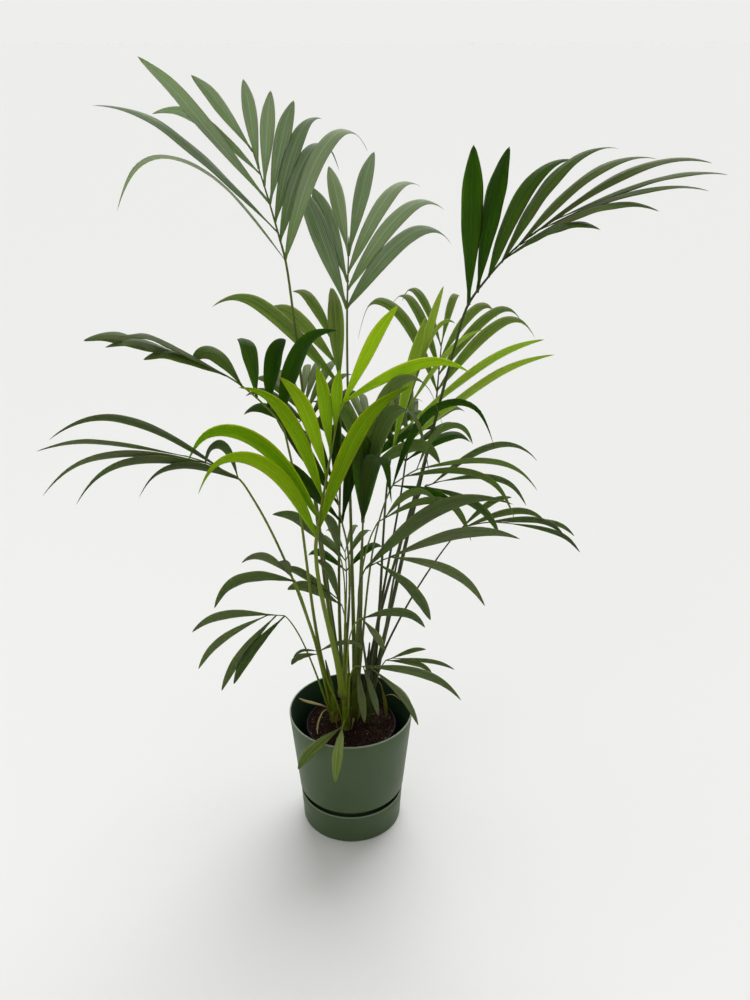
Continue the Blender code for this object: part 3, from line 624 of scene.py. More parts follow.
# %% Fronds in numbers
Fan = namedtuple(
    "Fan", "count angles lengths droops start end rolls", defaults=(0.04, 0.97, (0,)))
Frond = namedtuple(
    "Frond",
    "stem foot crown lean away turn midrib bend left right width lift fold stalk tint",
)
FRONDS = {
    "frond_top_left": Frond(
        "back_left", 0.10, (-0.102, 0.040, 1.153), -15, 24, -12, 0.215, 16,
        Fan(4, (24, 31, 25, 29), (0.43, 0.39, 0.33, 0.235), (150, 35, 0, 50), 0.06, 0.80,
            (-80, -70, 0, 60, 60)),
        Fan(7, (28, 27, 27, 26, 19, 8, -18), (0.355, 0.285, 0.245, 0.19, 0.172, 0.165, 0.175),
            (120, 150, 70, 10, 5, 5, 5), 0.03, 0.96),
        0.034, 6, 10, 0.0030, "grey"),
    "frond_top_middle": Frond(
        "middle", 0.12, (-0.001, 0.100, 1.057), 1, 38, 0, 0.150, 6,
        Fan(3, (20, 19, 12), (0.255, 0.20, 0.185), (5, 5, 5), 0.04, 0.80),
        Fan(4, (33, 29, 22, 10), (0.30, 0.305, 0.285, 0.225), (90, 75, 70, 10), 0.04, 0.72),
        0.037, 6, 10, 0.0028, "grey"),
    "frond_top_right": Frond(
        "right", 0.12, (0.207, 0.030, 1.080), 27, 4, 40, 0.225, 45,
        Fan(6, (27, 22, 15, 9.5, -1, -10), (0.265, 0.25, 0.275, 0.285, 0.28, 0.32),
            (10, 35, 100, 80, 65, 55), 0.04, 0.75, (0, 5, 10, 20, 30, 35)),
        Fan(4, (20, 22, 22, 16), (0.175, 0.24, 0.285, 0.285), (65, 55, 40, 35), 0.45, 0.92, (-45,)),
        0.042, 8, 0, 0.0034, "dark"),
    "frond_left_upper": Frond(
        "left", 0.12, (-0.116, -0.020, 0.884), -28, -5, -35, 0.250, 58,
        Fan(4, (13, 9, 5, 1), (0.15, 0.18, 0.18, 0.145), (22, 16, 10, 5), 0.58, 0.97, (-50,)),
        Fan(5, (40, 41, 35, 14, -10), (0.212, 0.14, 0.13, 0.125, 0.205), (68, 60, 100, 110, 5),
            0.02, 0.50, (0, 0, 10, 25, 65)),
        0.040, 8, 25, 0.0028, "dark"),
    "frond_back_middle": Frond(
        "back_left", 0.13, (-0.017, 0.120, 0.909), -5, 35, 0, 0.080, 8,
        Fan(3, (36, 32, 20), (0.34, 0.205, 0.175), (60, 45, 50)),
        Fan(2, (1, 0), (0.196, 0.125), (15, 5)),
        0.032, 8, 20, 0.0024, "mid"),
    "frond_back_right": Frond(
        "back_right", 0.13, (0.167, 0.140, 0.889), 6, 32, 0, 0.100, 10,
        Fan(3, (26, 23, 24), (0.345, 0.225, 0.19), (190, 95, 110)),
        Fan(4, (32, 30, 24, 6), (0.285, 0.26, 0.20, 0.14), (85, 85, 90, 60)),
        0.025, 8, 30, 0.0024, "mid"),
    "frond_centre_bright": Frond(
        "front", 0.11, (-0.054, -0.110, 0.702), 9, 12, 0, 0.250, 10,
        Fan(7, (31, 37, 27, 24, 16, 8, -14), (0.32, 0.345, 0.26, 0.195, 0.155, 0.11, 0.205),
            (170, 165, 75, 40, 10, 5, 5)),
        Fan(2, (9, 46), (0.32, 0.245), (50, 60)),
        0.032, 8, 10, 0.0048, "bright"),
    "frond_right_light": Frond(
        "right", 0.13, (0.078, 0.030, 0.799), 18, 24, 5, 0.130, 8,
        Fan(2, (4, 4), (0.265, 0.215), (5, 5)),
        Fan(4, (33, 31, 14, -3), (0.36, 0.33, 0.225, 0.20), (30, 30, 45, 100), 0.04, 0.97,
            (40, 40, 50, 60)),
        0.025, 6, 5, 0.0026, "light"),
    "frond_left_long": Frond(
        "left", 0.10, (-0.188, -0.060, 0.795), -42, -20, -35, 0.120, 20,
        Fan(4, (12, 14, 12, 6), (0.22, 0.30, 0.31, 0.265), (90, 75, 60, 20), 0.04, 0.97,
            (30, 20, 25, 50)),
        Fan(2, (32, 3), (0.145, 0.345), (195, 65), 0.04, 0.30, (0, 30)),
        0.024, 6, 10, 0.0028, "dull"),
    "frond_left_small": Frond(
        "left", 0.05, (-0.100, -0.040, 0.579), -25, -15, -10, 0.025, 10,
        Fan(2, (36, 2), (0.185, 0.125), (110, 70)),
        Fan(1, (14,), (0.06,), (40,)),
        0.030, 5, 10, 0.0020, "dull"),
    "frond_inner_left": Frond(
        "front", 0.06, (-0.014, 0.000, 0.598), -18, 10, 0, 0.020, 5,
        Fan(1, (22,), (0.16,), (40,)),
        Fan(1, (12,), (0.10,), (90,)),
        0.030, 5, 20, 0.0020, "dull"),
    "frond_inner_low": Frond(
        "middle", 0.05, (-0.016, 0.020, 0.491), -30, 10, 0, 0.020, 10,
        Fan(2, (25, 15), (0.12, 0.13), (50, 20)),
        Fan(1, (22,), (0.10,), (60,)),
        0.027, 5, 20, 0.0018, "dull"),
    "frond_left_low": Frond(
        "left", 0.03, (-0.126, 0.000, 0.479), -62, -20, -25, 0.040, 18,
        Fan(3, (55, 50, 20), (0.165, 0.18, 0.172), (50, 50, 60)),
        Fan(1, (3,), (0.172,), (55,)),
        0.023, 5, 5, 0.0018, "dull"),
    "frond_right_low": Frond(
        "right", 0.05, (0.032, -0.060, 0.618), 48, -15, 15, 0.060, 12,
        Fan(2, (12, 3), (0.35, 0.265), (65, 45)),
        Fan(2, (58, 25), (0.148, 0.205), (85, 80), 0.44, 0.97),
        0.030, 5, 0, 0.0022, "dull"),
    "frond_right_middle": Frond(
        "right", 0.08, (0.140, 0.000, 0.755), 58, -10, 25, 0.030, 10,
        Fan(1, (18,), (0.225,), (90,)),
        Fan(2, (36, 5), (0.175, 0.185), (70, 90)),
        0.017, 8, 10, 0.0022, "dull"),
    "frond_right_inner": Frond(
        "middle", 0.08, (0.080, -0.030, 0.770), 42, -5, 20, 0.060, 20,
        Fan(2, (26, 38), (0.32, 0.165), (215, 190)),
        Fan(3, (45, 22, 14), (0.165, 0.25, 0.235), (90, 130, 70)),
        0.017, 8, 10, 0.0022, "dark"),
    "frond_right_arch": Frond(
        "middle", 0.10, (0.054, -0.060, 0.712), 46, -15, 15, 0.030, 10,
        Fan(1, (20,), (0.14,), (110,)),
        Fan(1, (0,), (0.21,), (190,)),
        0.020, 5, 10, 0.0020, "dark"),
    "frond_right_far": Frond(
        "back_right", 0.06, (0.212, 0.050, 0.643), 60, 0, 30, 0.090, 36,
        Fan(2, (18, 6), (0.12, 0.15), (45, 50)),
        Fan(3, (2, 4, 4), (0.17, 0.17, 0.165), (60, 60, 50)),
        0.015, 6, 10, 0.0020, "dull"),
    "frond_right_foot": Frond(
        "back_right", 0.03, (0.071, 0.040, 0.349), 62, 0, 20, 0.015, 10,
        Fan(1, (4,), (0.08,), (20,)),
        Fan(2, (25, 18), (0.10, 0.13), (40, 20)),
        0.016, 5, 10, 0.0016, "dull"),
    "frond_front_right": Frond(
        "front", 0.04, (0.012, -0.040, 0.390), 74, -20, 30, 0.030, 10,
        Fan(1, (2,), (0.215,), (60,)),
        Fan(3, (82, 66, 28), (0.11, 0.10, 0.15), (40, 45, 75)),
        0.022, 5, 5, 0.0018, "dull"),
    "frond_centre_dark": Frond(
        "middle", 0.12, (0.026, 0.024, 0.668), 3, -12, 5, 0.120, 0,
        Fan(2, (3, 14), (0.26, 0.20), (10, 60)),
        Fan(4, (2, -1, 3, 44), (0.30, 0.42, 0.39, 0.17), (178, 168, 172, 90), 0.08, 0.97),
        0.040, 2, 35, 0.0030, "dark"),
    "frond_rim_front": Frond(
        "front", 0.02, (-0.014, -0.088, 0.285), -30, -75, 180, 0.008, 10,
        Fan(1, (6,), (0.15,), (75,)),
        Fan(1, (54,), (0.12,), (40,), 0.04, 0.97, (-50,)),
        0.032, 3, 10, 0.0016, "mid"),
    # Its deep green is painted shade, for a frond that lies behind the bright one.
    "frond_centre_shade": Frond(
        "back_left", 0.08, (-0.012, 0.000, 0.680), -10, 12, 0, 0.080, 5,
        Fan(3, (30, 20, 8), (0.19, 0.20, 0.17), (20, 10, 5)),
        Fan(2, (20, 14), (0.21, 0.13), (10, 10)),
        0.030, 6, 5, 0.0026, "deep"),
    "frond_inner_right": Frond(
        "front", 0.085, (0.018, -0.070, 0.515), 60, -15, 10, 0.012, 10,
        Fan(1, (5,), (0.14,), (75,)),
        Fan(1, (66,), (0.075,), (50,)),
        0.026, 5, 10, 0.0018, "dull"),
    "frond_front_left": Frond(
        "front", 0.03, (-0.062, -0.030, 0.411), -5, -20, 0, 0.012, 10,
        Fan(2, (84, 60), (0.060, 0.055), (70, 100)),
        Fan(1, (60,), (0.11,), (90,)),
        0.028, 5, 10, 0.0016, "dull"),
    # The rear fronds' dark green is painted shade, for leaves behind the others.
    "frond_rear_left": Frond(
        "back_left", 0.06, (-0.080, 0.165, 0.790), -12, 50, -5, 0.120, 35,
        Fan(5, (44, 28, 12), (0.17, 0.20, 0.19), (60, 45, 35)),
        Fan(5, (44, 28, 12), (0.16, 0.20, 0.19), (60, 45, 35)),
        0.026, 8, 15, 0.0026, "dark"),
    "frond_rear_middle": Frond(
        "middle", 0.04, (0.030, 0.180, 0.720), 5, 50, 0, 0.130, 40,
        Fan(5, (46, 28, 12), (0.20, 0.22, 0.20), (60, 45, 35)),
        Fan(5, (46, 28, 12), (0.19, 0.22, 0.20), (60, 45, 35)),
        0.026, 8, 15, 0.0026, "dark"),
    "frond_rear_right": Frond(
        "back_right", 0.08, (0.110, 0.175, 0.730), 16, 50, 5, 0.120, 35,
        Fan(5, (42, 26, 12), (0.17, 0.20, 0.19), (60, 45, 35)),
        Fan(5, (42, 26, 12), (0.17, 0.19, 0.18), (60, 45, 35)),
        0.024, 8, 15, 0.0026, "dark"),
    "frond_rear_low": Frond(
        "back_left", 0.03, (-0.010, 0.140, 0.500), -6, 55, 0, 0.060, 30,
        Fan(3, (44, 16), (0.11, 0.13), (65, 50)),
        Fan(3, (44, 16), (0.11, 0.13), (65, 50)),
        0.022, 8, 15, 0.0020, "dark"),
}
print(len(FRONDS), "fronds")

# %% [markdown]
# ## Stems and midribs
# A stem is a short taper that flares into the soil. A midrib starts at the crown in the
# frond's own direction and is then turned towards the ground step by step, as a rib that
# bends under the weight of its leaflets. Its side and upper face turn with it.

# %% Stems and midribs
MIDRIB_STEPS = 4


def stem_axis(stem, share):
    """A point on a stem's middle line, from its foot at 0 to its top at 1."""
    rise = SOIL_TOP + GAP + stem.height * share
    drift = share ** 1.5
    return Vector((stem.x + stem.lean_x * drift, stem.y + stem.lean_y * drift, rise))


def stem_radius(share):
    """A stem's radius: it flares into the soil and tapers to its top."""
    flare = (STEM_FLARE_RADIUS - STEM_TOP_RADIUS) * (1 - share) ** 3
    return STEM_TOP_RADIUS * (1.25 - 0.25 * share) + flare


def lowered(direction, others, degrees):
    """Turn a direction toward the ground by so many degrees, and others with it."""
    axis = direction.cross(Vector((0, 0, -1)))
    if axis.length < 0.01:
        axis = others[0]
    turn = Matrix.Rotation(radians(degrees), 3, axis.normalized())
    return turn @ direction, [turn @ other for other in others]


def frond_axes(frond):
    """The midrib's first direction, the blade's right side, and its upper face."""
    lean, away, turn = radians(frond.lean), radians(frond.away), radians(frond.turn)
    along = Vector((sin(lean) * cos(away), sin(away), cos(lean) * cos(away)))
    side = Vector((cos(lean), 0.0, -sin(lean)))
    face = side.cross(along)
    return along, side * cos(turn) + face * sin(turn), face * cos(turn) - side * sin(turn)


def midrib_frames(frond):
    """Point, direction, side and face at each step of the midrib, from crown to tip."""
    along, side, face = frond_axes(frond)
    point = Vector(frond.crown)
    frames = [(point.copy(), along, side, face)]
    for _ in range(MIDRIB_STEPS):
        level = 0.3 + 0.7 * Vector((along.x, along.y, 0)).length
        along, (side, face) = lowered(along, [side, face], frond.bend / MIDRIB_STEPS * level)
        point = point + along * (frond.midrib / MIDRIB_STEPS)
        frames.append((point.copy(), along, side, face))
    return frames


def frame_at(frames, share):
    """The midrib's frame at a share of its length."""
    place = min(share * MIDRIB_STEPS, MIDRIB_STEPS - 0.0001)
    index, rest = int(place), place - int(place)
    near, far = frames[index], frames[index + 1]
    axes = [near[axis].lerp(far[axis], rest).normalized() for axis in (1, 2, 3)]
    return (near[0].lerp(far[0], rest), *axes)


midrib_ends = [midrib_frames(frond)[-1][0].z for frond in FRONDS.values()]
print("midribs end between", round(min(midrib_ends), 2), "and", round(max(midrib_ends), 2), "m")

# %% [markdown]
# ## One stalk
# A stalk leaves its stem upright and runs almost straight to its crown, as one smooth
# curve with two handles, and thins a little on the way. The midrib goes on from there.

# %% One stalk
STALK_STEPS = 8
MIDRIB_TIP_RADIUS = 0.0013


def stalk_points(frond, foot_turn, bow, push):
    """A frond's stalk: it leaves its stem upright and runs almost straight to its crown."""
    stem = STEMS[frond.stem]
    share = min(frond.foot / stem.height, 0.97)
    axis = stem_axis(stem, share)
    crown = Vector(frond.crown)
    out = Vector((crown.x - axis.x, crown.y - axis.y, 0)).normalized()
    out = Matrix.Rotation(radians(foot_turn), 3, "Z") @ out
    start = axis + out * (stem_radius(share) + frond.stalk * 0.5 + push)
    reach = (crown - start).length
    direct = (crown - start) / reach
    grain = (stem_axis(stem, 1.0) - stem_axis(stem, 0.5)).normalized()
    upward = (grain * 0.6 + direct * 0.4 + out * 0.05).normalized()
    onward = (frond_axes(frond)[0] * 0.6 + Vector((0, 0, 1)) * 0.4).normalized()
    aside = Vector((-out.y, out.x, 0)) * bow
    first = start + upward * reach * 0.35 + aside
    second = crown - onward * reach * 0.22 + aside
    points = []
    for share in (step / STALK_STEPS for step in range(STALK_STEPS + 1)):
        rest = 1 - share
        points.append(
            start * rest ** 3 + first * (3 * rest ** 2 * share)
            + second * (3 * rest * share ** 2) + crown * share ** 3)
    return points, out


def rib_line(frond, foot_turn, bow, push):
    """The stalk and the midrib as one run of points with their radii."""
    points, out = stalk_points(frond, foot_turn, bow, push)
    radii = [frond.stalk * (1 - 0.25 * step / STALK_STEPS) for step in range(STALK_STEPS + 1)]
    for step, (point, *_) in enumerate(midrib_frames(frond)[1:], 1):
        share = step / MIDRIB_STEPS
        points.append(point)
        radii.append(radii[STALK_STEPS] * (1 - share) + MIDRIB_TIP_RADIUS * share)
    return points, radii, out


print("a stalk and its midrib have", STALK_STEPS + MIDRIB_STEPS, "steps")

# %% [markdown]
# ## Stalks that keep clear of each other
# On the plant no stalk passes through another. Each foot is moved out from its stem until
# the two are just clear. Where another stalk is in the way, the foot moves round its stem
# or the middle bows aside a little. The first free try is taken, or else the roomiest.

# %% Stalks kept apart
RIB_SIDES = 3
RIB_CLEARANCE = 0.0008
SEAT_START = -0.0020
SEAT_STEP = 0.00015
SEAT_STEPS = 36
FOOT_TURNS = (0, 24, -24, 48, -48, 72, -72, 100, -100, 130, -130, 180)
STALK_BOWS = (0.0, 0.008, -0.008, 0.016, -0.016, 0.026, -0.026)


def rib_tree(points, radii, across, margin):
    """A search tree of a rib that is grown by a margin on every flat side."""
    corners = []
    for index, (point, radius) in enumerate(zip(points, radii)):
        before, after = points[max(index - 1, 0)], points[min(index + 1, len(points) - 1)]
        along = (after - before).normalized()
        across = (across - along * across.dot(along)).normalized()
        for angle in (2 * pi * side / RIB_SIDES for side in range(RIB_SIDES)):
            offset = across * cos(angle) + along.cross(across) * sin(angle)
            corners.append(point + offset * (radius + margin / cos(pi / RIB_SIDES)))
    return BVHTree.FromPolygons(corners, tube_faces(len(points), RIB_SIDES))


def seated_rib(frond, foot_turn, bow, stem_tree):
    """Move a stalk's foot out from its stem until the two are just clear of each other."""
    for step in range(SEAT_STEPS):
        rib = rib_line(frond, foot_turn, bow, SEAT_START + step * SEAT_STEP)
        if not rib_tree(*rib, GAP).overlap(stem_tree):
            return rib
    return None


def samples_of(points, radii, between=6):
    """Close points along a run, with their radii, as one array."""
    rows = []
    for index in range(len(points) - 1):
        for share in (part / between for part in range(between)):
            place = points[index].lerp(points[index + 1], share)
            rows.append((*place, radii[index] * (1 - share) + radii[index + 1] * share))
    return np.array(rows + [(*points[-1], radii[-1])])


def room_between(one, other):
    """The least clear space between two runs of samples."""
    apart = np.linalg.norm(one[:, None, :3] - other[None, :, :3], axis=2)
    return float((apart - one[:, None, 3] - other[None, :, 3]).min())


def place_ribs(stem_trees):
    """Find each frond a stalk that keeps clear of the stems and of the stalks before it."""
    shares = [ring / (STEM_RINGS - 1) for ring in range(STEM_RINGS)]
    radii = [stem_radius(share) for share in shares]
    taken = {
        name: samples_of([stem_axis(stem, share) for share in shares], radii)
        for name, stem in STEMS.items()}
    ribs = {}
    for name, frond in FRONDS.items():
        best = (-1.0, None, None)
        for foot_turn, bow in product(FOOT_TURNS, STALK_BOWS):
            rib = seated_rib(frond, foot_turn, bow, stem_trees[frond.stem])
            if rib is None:
                continue
            line = samples_of(*rib[:2])
            room = min(room_between(line, taken[other]) for other in taken if other != frond.stem)
            best = max(best, (room, rib, line), key=lambda found: found[0])
            if room > RIB_CLEARANCE:
                break
        _, ribs[name], taken[name] = best
    return ribs


print("a stalk has", len(FOOT_TURNS) * len(STALK_BOWS), "tries")

# %% [markdown]
# ## One plain leaflet
# Each leaflet starts on the midrib at its angle and arches down under its own weight,
# more and more towards its tip. Whether it touches anything is tested with a plain
# blade round that line, a ridge over two flat sides with three points to a station.

# %% One plain leaflet
LEAF_BEND_STEPS = 24
LEAF_STATIONS = (0.0, 0.14, 0.38, 0.66, 0.88)
LEAF_FOOT_SHARE = 0.10


def leaf_outline(share):
    """A leaflet's half width as a share of its widest, which lies past its middle."""
    return max(sin(pi * share ** 1.2), LEAF_FOOT_SHARE) ** 0.75


def leaf_line(point, along, across, length, droop, fold):
    """Points, directions and width axes along a leaflet that arches down."""
    rows = [(point.copy(), along.copy(), across.copy())]
    for step in range(LEAF_BEND_STEPS):
        share = (step + 0.5) / LEAF_BEND_STEPS
        level = 0.5 + 0.5 * Vector((along.x, along.y, 0)).length
        arch = droop * 2.5 * share ** 1.5 * level
        crease = fold * 5 if 0.68 < share < 0.88 else 0.0
        room = max(0.0, min(1.0, (along.z + 1.0) / 0.4))
        along, (across,) = lowered(along, [across], (arch + crease) * room / LEAF_BEND_STEPS)
        point = point + along * (length / LEAF_BEND_STEPS)
        rows.append((point.copy(), along.copy(), across.copy()))
    return rows


def blade_tree(rows, half_width, depth):
    """A search tree of a leaflet's plain blade: a ridge over two flat sides, and a tip."""
    corners = []
    for share in LEAF_STATIONS:
        point, along, across = rows[round(share * LEAF_BEND_STEPS)]
        ridge = across.cross(along)
        width = half_width * leaf_outline(share)
        rise = depth * (0.5 + 0.5 * leaf_outline(share))
        corners += [point + across * (hand * width) - ridge * rise * 0.35 for hand in (-1, 1)]
        corners.append(point + ridge * rise * 0.65)
    low, tip = len(corners) - 3, len(corners)
    faces = side_faces(len(LEAF_STATIONS), 3)
    faces += [[low + side, low + (side + 1) % 3, tip] for side in range(3)]
    return BVHTree.FromPolygons(corners + [rows[-1][0]], faces + [[2, 1, 0]])


print("a leaflet's line has", LEAF_BEND_STEPS, "steps")

# %% [markdown]
# ## A fan of leaflets
# The leaflets of one side change little by little from the crown to the tip, so a few
# key values say them all, and each leaflet reads its own between two of these.

# %% Fans of leaflets


def key_value(keys, share):
    """The value at a share of the way along evenly spaced key values."""
    place = share * (len(keys) - 1)
    index = min(int(place), len(keys) - 2) if len(keys) > 1 else 0
    following = keys[min(index + 1, len(keys) - 1)]
    return keys[index] + (following - keys[index]) * (place - index)


def fan_leaves(frond):
    """Where each leaflet of a frond grows, on both sides, with its angle, length, droop, roll."""
    for fan, hand in ((frond.left, -1), (frond.right, 1)):
        for index in range(fan.count):
            share = 1.0 if fan.count == 1 else index / (fan.count - 1)
            along_midrib = fan.start + (fan.end - fan.start) * share if fan.count > 1 else 0.6
            if hand < 0:
                along_midrib = max(along_midrib - 0.05, 0.02)
            keys = (fan.angles, fan.lengths, fan.droops, fan.rolls)
            yield (hand, along_midrib, *[key_value(values, share) for values in keys])


def leaf_rows(frond, frames, hand, along_midrib, angle, length, droop, roll, lift):
    """The line of one leaflet."""
    point, along, side, face = frame_at(frames, along_midrib)
    spread, rise = radians(angle), radians(lift)
    outward = along * cos(spread) + side * (hand * sin(spread))
    across = (side * cos(spread) * hand - along * sin(spread)) * hand
    heading = outward * cos(rise) + face * sin(rise)
    across = Matrix.Rotation(radians(roll * hand), 3, heading) @ across
    return leaf_line(point, heading, across, length, droop, frond.fold)


total = sum(len(list(fan_leaves(frond))) for frond in FRONDS.values())
print(total, "leaflets in the table")

# %% [markdown]
# ## Leaflets that keep clear of each other
# A leaflet takes the first of its tries that touches no other frond, stem or pot: its
# own place, then a little wider, higher or lower, and at last a shorter leaf.

# %% Leaflets kept apart
LEAF_DEPTH_SHARE = 0.012
LEAF_MARGIN = 0.0010
LEAF_TRIES = (
    (0, 0, 1.0), (0, 8, 1.0), (0, -8, 1.0), (6, 0, 1.0), (-6, 0, 1.0), (0, 16, 1.0),
    (0, -16, 1.0), (8, 10, 0.95), (-8, 10, 0.95), (0, 24, 0.9), (0, -24, 0.9), (0, 0, 0.75),
    (0, 14, 0.75), (0, -14, 0.75), (10, 0, 0.6), (-10, 0, 0.6),
)


def place_leaves(ribs, taken):
    """Give each leaflet the first of its tries that touches nothing of another piece."""
    rib_trees = {name: rib_tree(*rib, LEAF_MARGIN) for name, rib in ribs.items()}
    leaves = {}
    for name, frond in FRONDS.items():
        frames = midrib_frames(frond)
        others = taken + [tree for rib, tree in rib_trees.items() if rib != name]
        leaves[name] = []
        for hand, along_midrib, angle, length, droop, roll in fan_leaves(frond):
            for more_angle, more_lift, keep in LEAF_TRIES:
                rows = leaf_rows(
                    frond, frames, hand, along_midrib, angle + more_angle, length * keep,
                    droop, roll, frond.lift + more_lift)
                half_width = frond.width / 2 * (0.6 + 0.4 * min(length * keep / 0.2, 1.0))
                half_width *= 1 - 0.3 * along_midrib
                depth = LEAF_DEPTH_SHARE * length + 2 * LEAF_MARGIN
                tree = blade_tree(rows, half_width + LEAF_MARGIN, depth)
                if not any(tree.overlap(other) for other in others):
                    taken = taken + [tree]
                    leaves[name].append((rows, half_width))
                    break
    return leaves


print("a leaflet has", len(LEAF_TRIES), "tries")

# %% [markdown]
# ## Growing the palm
# The rule runs once. The pots and stems it must keep clear of are read from the frame's
# own solids, so the answer is the same as the source's.

# %% Grow stalks and leaflets


def node_tree_of(name):
    """A search tree of one of the frame's solids."""
    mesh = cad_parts[name].data
    return BVHTree.FromPolygons(
        [vertex.co[:] for vertex in mesh.vertices],
        [polygon.vertices[:] for polygon in mesh.polygons])


stem_trees = {name: node_tree_of("stem_" + name) for name in STEMS}
pot_trees = [node_tree_of(name) for name in ("planter", "saucer", "nursery_pot", "soil")]
ribs = place_ribs(stem_trees)
leaves = place_leaves(ribs, pot_trees + list(stem_trees.values()))
print(sum(len(found) for found in leaves.values()), "leaflets placed")

# %% [markdown]
# ## Leaf green
# A kentia leaflet is a leathery strip with a strong midrib, fine nerves that run its
# whole length, a waxy sheen above and a duller, paler underside. The nerves have to
# follow the blade, so they read its own UV map, where U runs across and V along. The
# greens differ by frond: new leaves are a clear yellow green and old ones darker or
# greyed, and the darkest greens, dark and deep, are also painted shade, for fronds that
# lie in shade. Along a frond the green pales towards the tip, which is painted light
# that the outer leaflets catch, and every leaflet has a tone of its own. Both are values
# that each leaflet carries. Each leaflet's foot is darkened as painted shade, and its
# very tip turns brown where it has dried.

# %% Leaf finishes
# The upper side of each tint: the blade's green at the frond's crown and at its tip,
# roughness, and how much light passes through it. The dark and deep greens are partly
# painted shade, and a tip green paler than the crown's is painted light.
LEAF_TINTS = {
    "grey": ((0.156, 0.198, 0.120), (0.176, 0.216, 0.136), 0.42, 0.12),
    "mid": ((0.098, 0.118, 0.032), (0.104, 0.122, 0.036), 0.42, 0.20),
    "dark": ((0.016, 0.034, 0.001), (0.072, 0.094, 0.029), 0.40, 0.10),
    "deep": ((0.009, 0.019, 0.001), (0.010, 0.020, 0.001), 0.42, 0.05),
    "bright": ((0.108, 0.160, 0.001), (0.165, 0.235, 0.006), 0.40, 0.35),
    "light": ((0.156, 0.190, 0.024), (0.168, 0.202, 0.032), 0.40, 0.35),
    "dull": ((0.051, 0.058, 0.026), (0.063, 0.067, 0.038), 0.42, 0.10),
}
UNDERSIDE, DULLER_BELOW = (1.15, 1.10, 1.20), 0.14
LEAF_SHEEN = 0.05
NERVES_ACROSS = 11
NERVE_STRENGTH, MIDRIB_STRENGTH = 0.60, 0.75
MIDRIB_HALF = (0.010, 0.045)
NERVE_LIFT = 0.85
PAINTED_LIGHT_SPAN = (0.20, 0.60)
TONE_WEIGHT = 0.55
MOTTLE = ((0.15, (0.62, 0.62, 0.62)), (0.50, (1.0, 1.0, 1.0)), (0.90, (1.42, 1.36, 1.28)))
# Along each leaflet: painted shade that darkens its foot, and a dried brown at its tip.
SHADED_FOOT_AND_DRY_TIP = (
    (0.0, (0.50, 0.58, 0.34)), (0.34, (1.0, 1.0, 1.0)), (0.94, (1.0, 1.0, 1.0)),
    (1.0, (0.80, 0.55, 0.38)))


def leaf_finish(name, green, painted_light_tip_green, roughness, glow, seed):
    """A leathery blade: fine nerves along it, a pale midrib, soft blotches, a sheen,
    a dried tip and painted shade at its foot.
    """
    material = new_material(name, green, roughness, LEAF_SHEEN)
    let_light_in(material, glow, (0.005, 0.010, 0.002))
    flat = add_node(material, "UVMap", uv_map=BLADE_MAP)
    across, along = (add_node(material, "SeparateXYZ", {"Vector": flat}, axis) for axis in "XY")
    tone, far = (
        add_node(material, "Attribute", output="Fac", attribute_name=value)
        for value in ("tone", "far_along"))
    wave = calc(material, "SINE", calc(material, "MULTIPLY", across, 2 * pi * NERVES_ACROSS))
    nerves = remap(material, wave, 0.3, 1.0, 0.0, NERVE_STRENGTH)
    beside = calc(material, "ABSOLUTE", calc(material, "SUBTRACT", across, 0.5))
    midrib = remap(material, beside, *MIDRIB_HALF, MIDRIB_STRENGTH, 0.0)
    lines = calc(material, "MAXIMUM", nerves, midrib)
    stretched = add_node(material, "Mapping", {
        "Vector": flat, "Scale": (4.5, 0.7, 1.0), "Location": (seed, seed, 0)})
    blotch = clouds(material, stretched, 1.6, 4.0, 0.6)
    shade = calc(
        material, "MULTIPLY_ADD", tone, TONE_WEIGHT, calc(material, "SUBTRACT", blotch, 0.25))
    # Towards the frond's tip the green turns paler: painted light that the outer leaflets catch.
    share = remap(material, far, *PAINTED_LIGHT_SPAN, 0.0, 1.0)
    green_with_painted_light = mix(material, share, (*green, 1.0), (*painted_light_tip_green, 1.0))
    mottled = add_node(
        material, "VectorMath", {0: green_with_painted_light, 1: ramp(material, shade, MOTTLE)},
        operation="MULTIPLY")
    lift = calc(material, "MULTIPLY_ADD", lines, NERVE_LIFT, 1.0)
    veined = add_node(material, "VectorMath", {0: mottled, "Scale": lift}, operation="SCALE")
    # The foot of each leaflet is darkened as painted shade, and its tip browned where it dried.
    colour = mix(material, 0.8, veined, ramp(material, along, SHADED_FOOT_AND_DRY_TIP), "MULTIPLY")
    gloss = remap(material, blotch, 0.0, 1.0, roughness - 0.06, roughness + 0.14)
    dress(material, colour, gloss, wave, 0.35, 0.0004)
    return material


leaf_finishes = {}
for number, (tint, (green, painted_light_tip_green, roughness, glow)) in enumerate(LEAF_TINTS.items()):
    seed = number * 3.7
    under = [tuple(np.multiply(colour, UNDERSIDE)) for colour in (green, painted_light_tip_green)]
    leaf_finishes[tint] = (
        leaf_finish("leaf_" + tint, green, painted_light_tip_green, roughness, glow, seed),
        leaf_finish("underleaf_" + tint, *under, roughness + DULLER_BELOW, glow, seed + 1),
    )
print(len(leaf_finishes), "leaf greens")

# %% [markdown]
# ## Smooth curves
# The rule gives each leaflet and stalk a few points, and the eye would see the corners
# between them. A smooth curve through the same points, read at many places, has none.

# %% Smooth curves


def smooth(values, shares):
    """A smooth curve through evenly spaced values, read at shares of its length."""
    last = len(values) - 1
    place = np.clip(shares, 0, 1) * last
    index = np.minimum(place.astype(int), last - 1)
    rest = (place - index)[:, None]
    a, b, c, d = (values[np.clip(index + step, 0, last)] for step in (-1, 0, 1, 2))
    bend = 2 * a - 5 * b + 4 * c - d + rest * (3 * (b - c) + d - a)
    return b + 0.5 * rest * (c - a + rest * bend)


def unit(vectors):
    """Vectors scaled to a length of one."""
    return vectors / np.linalg.norm(vectors, axis=1, keepdims=True)


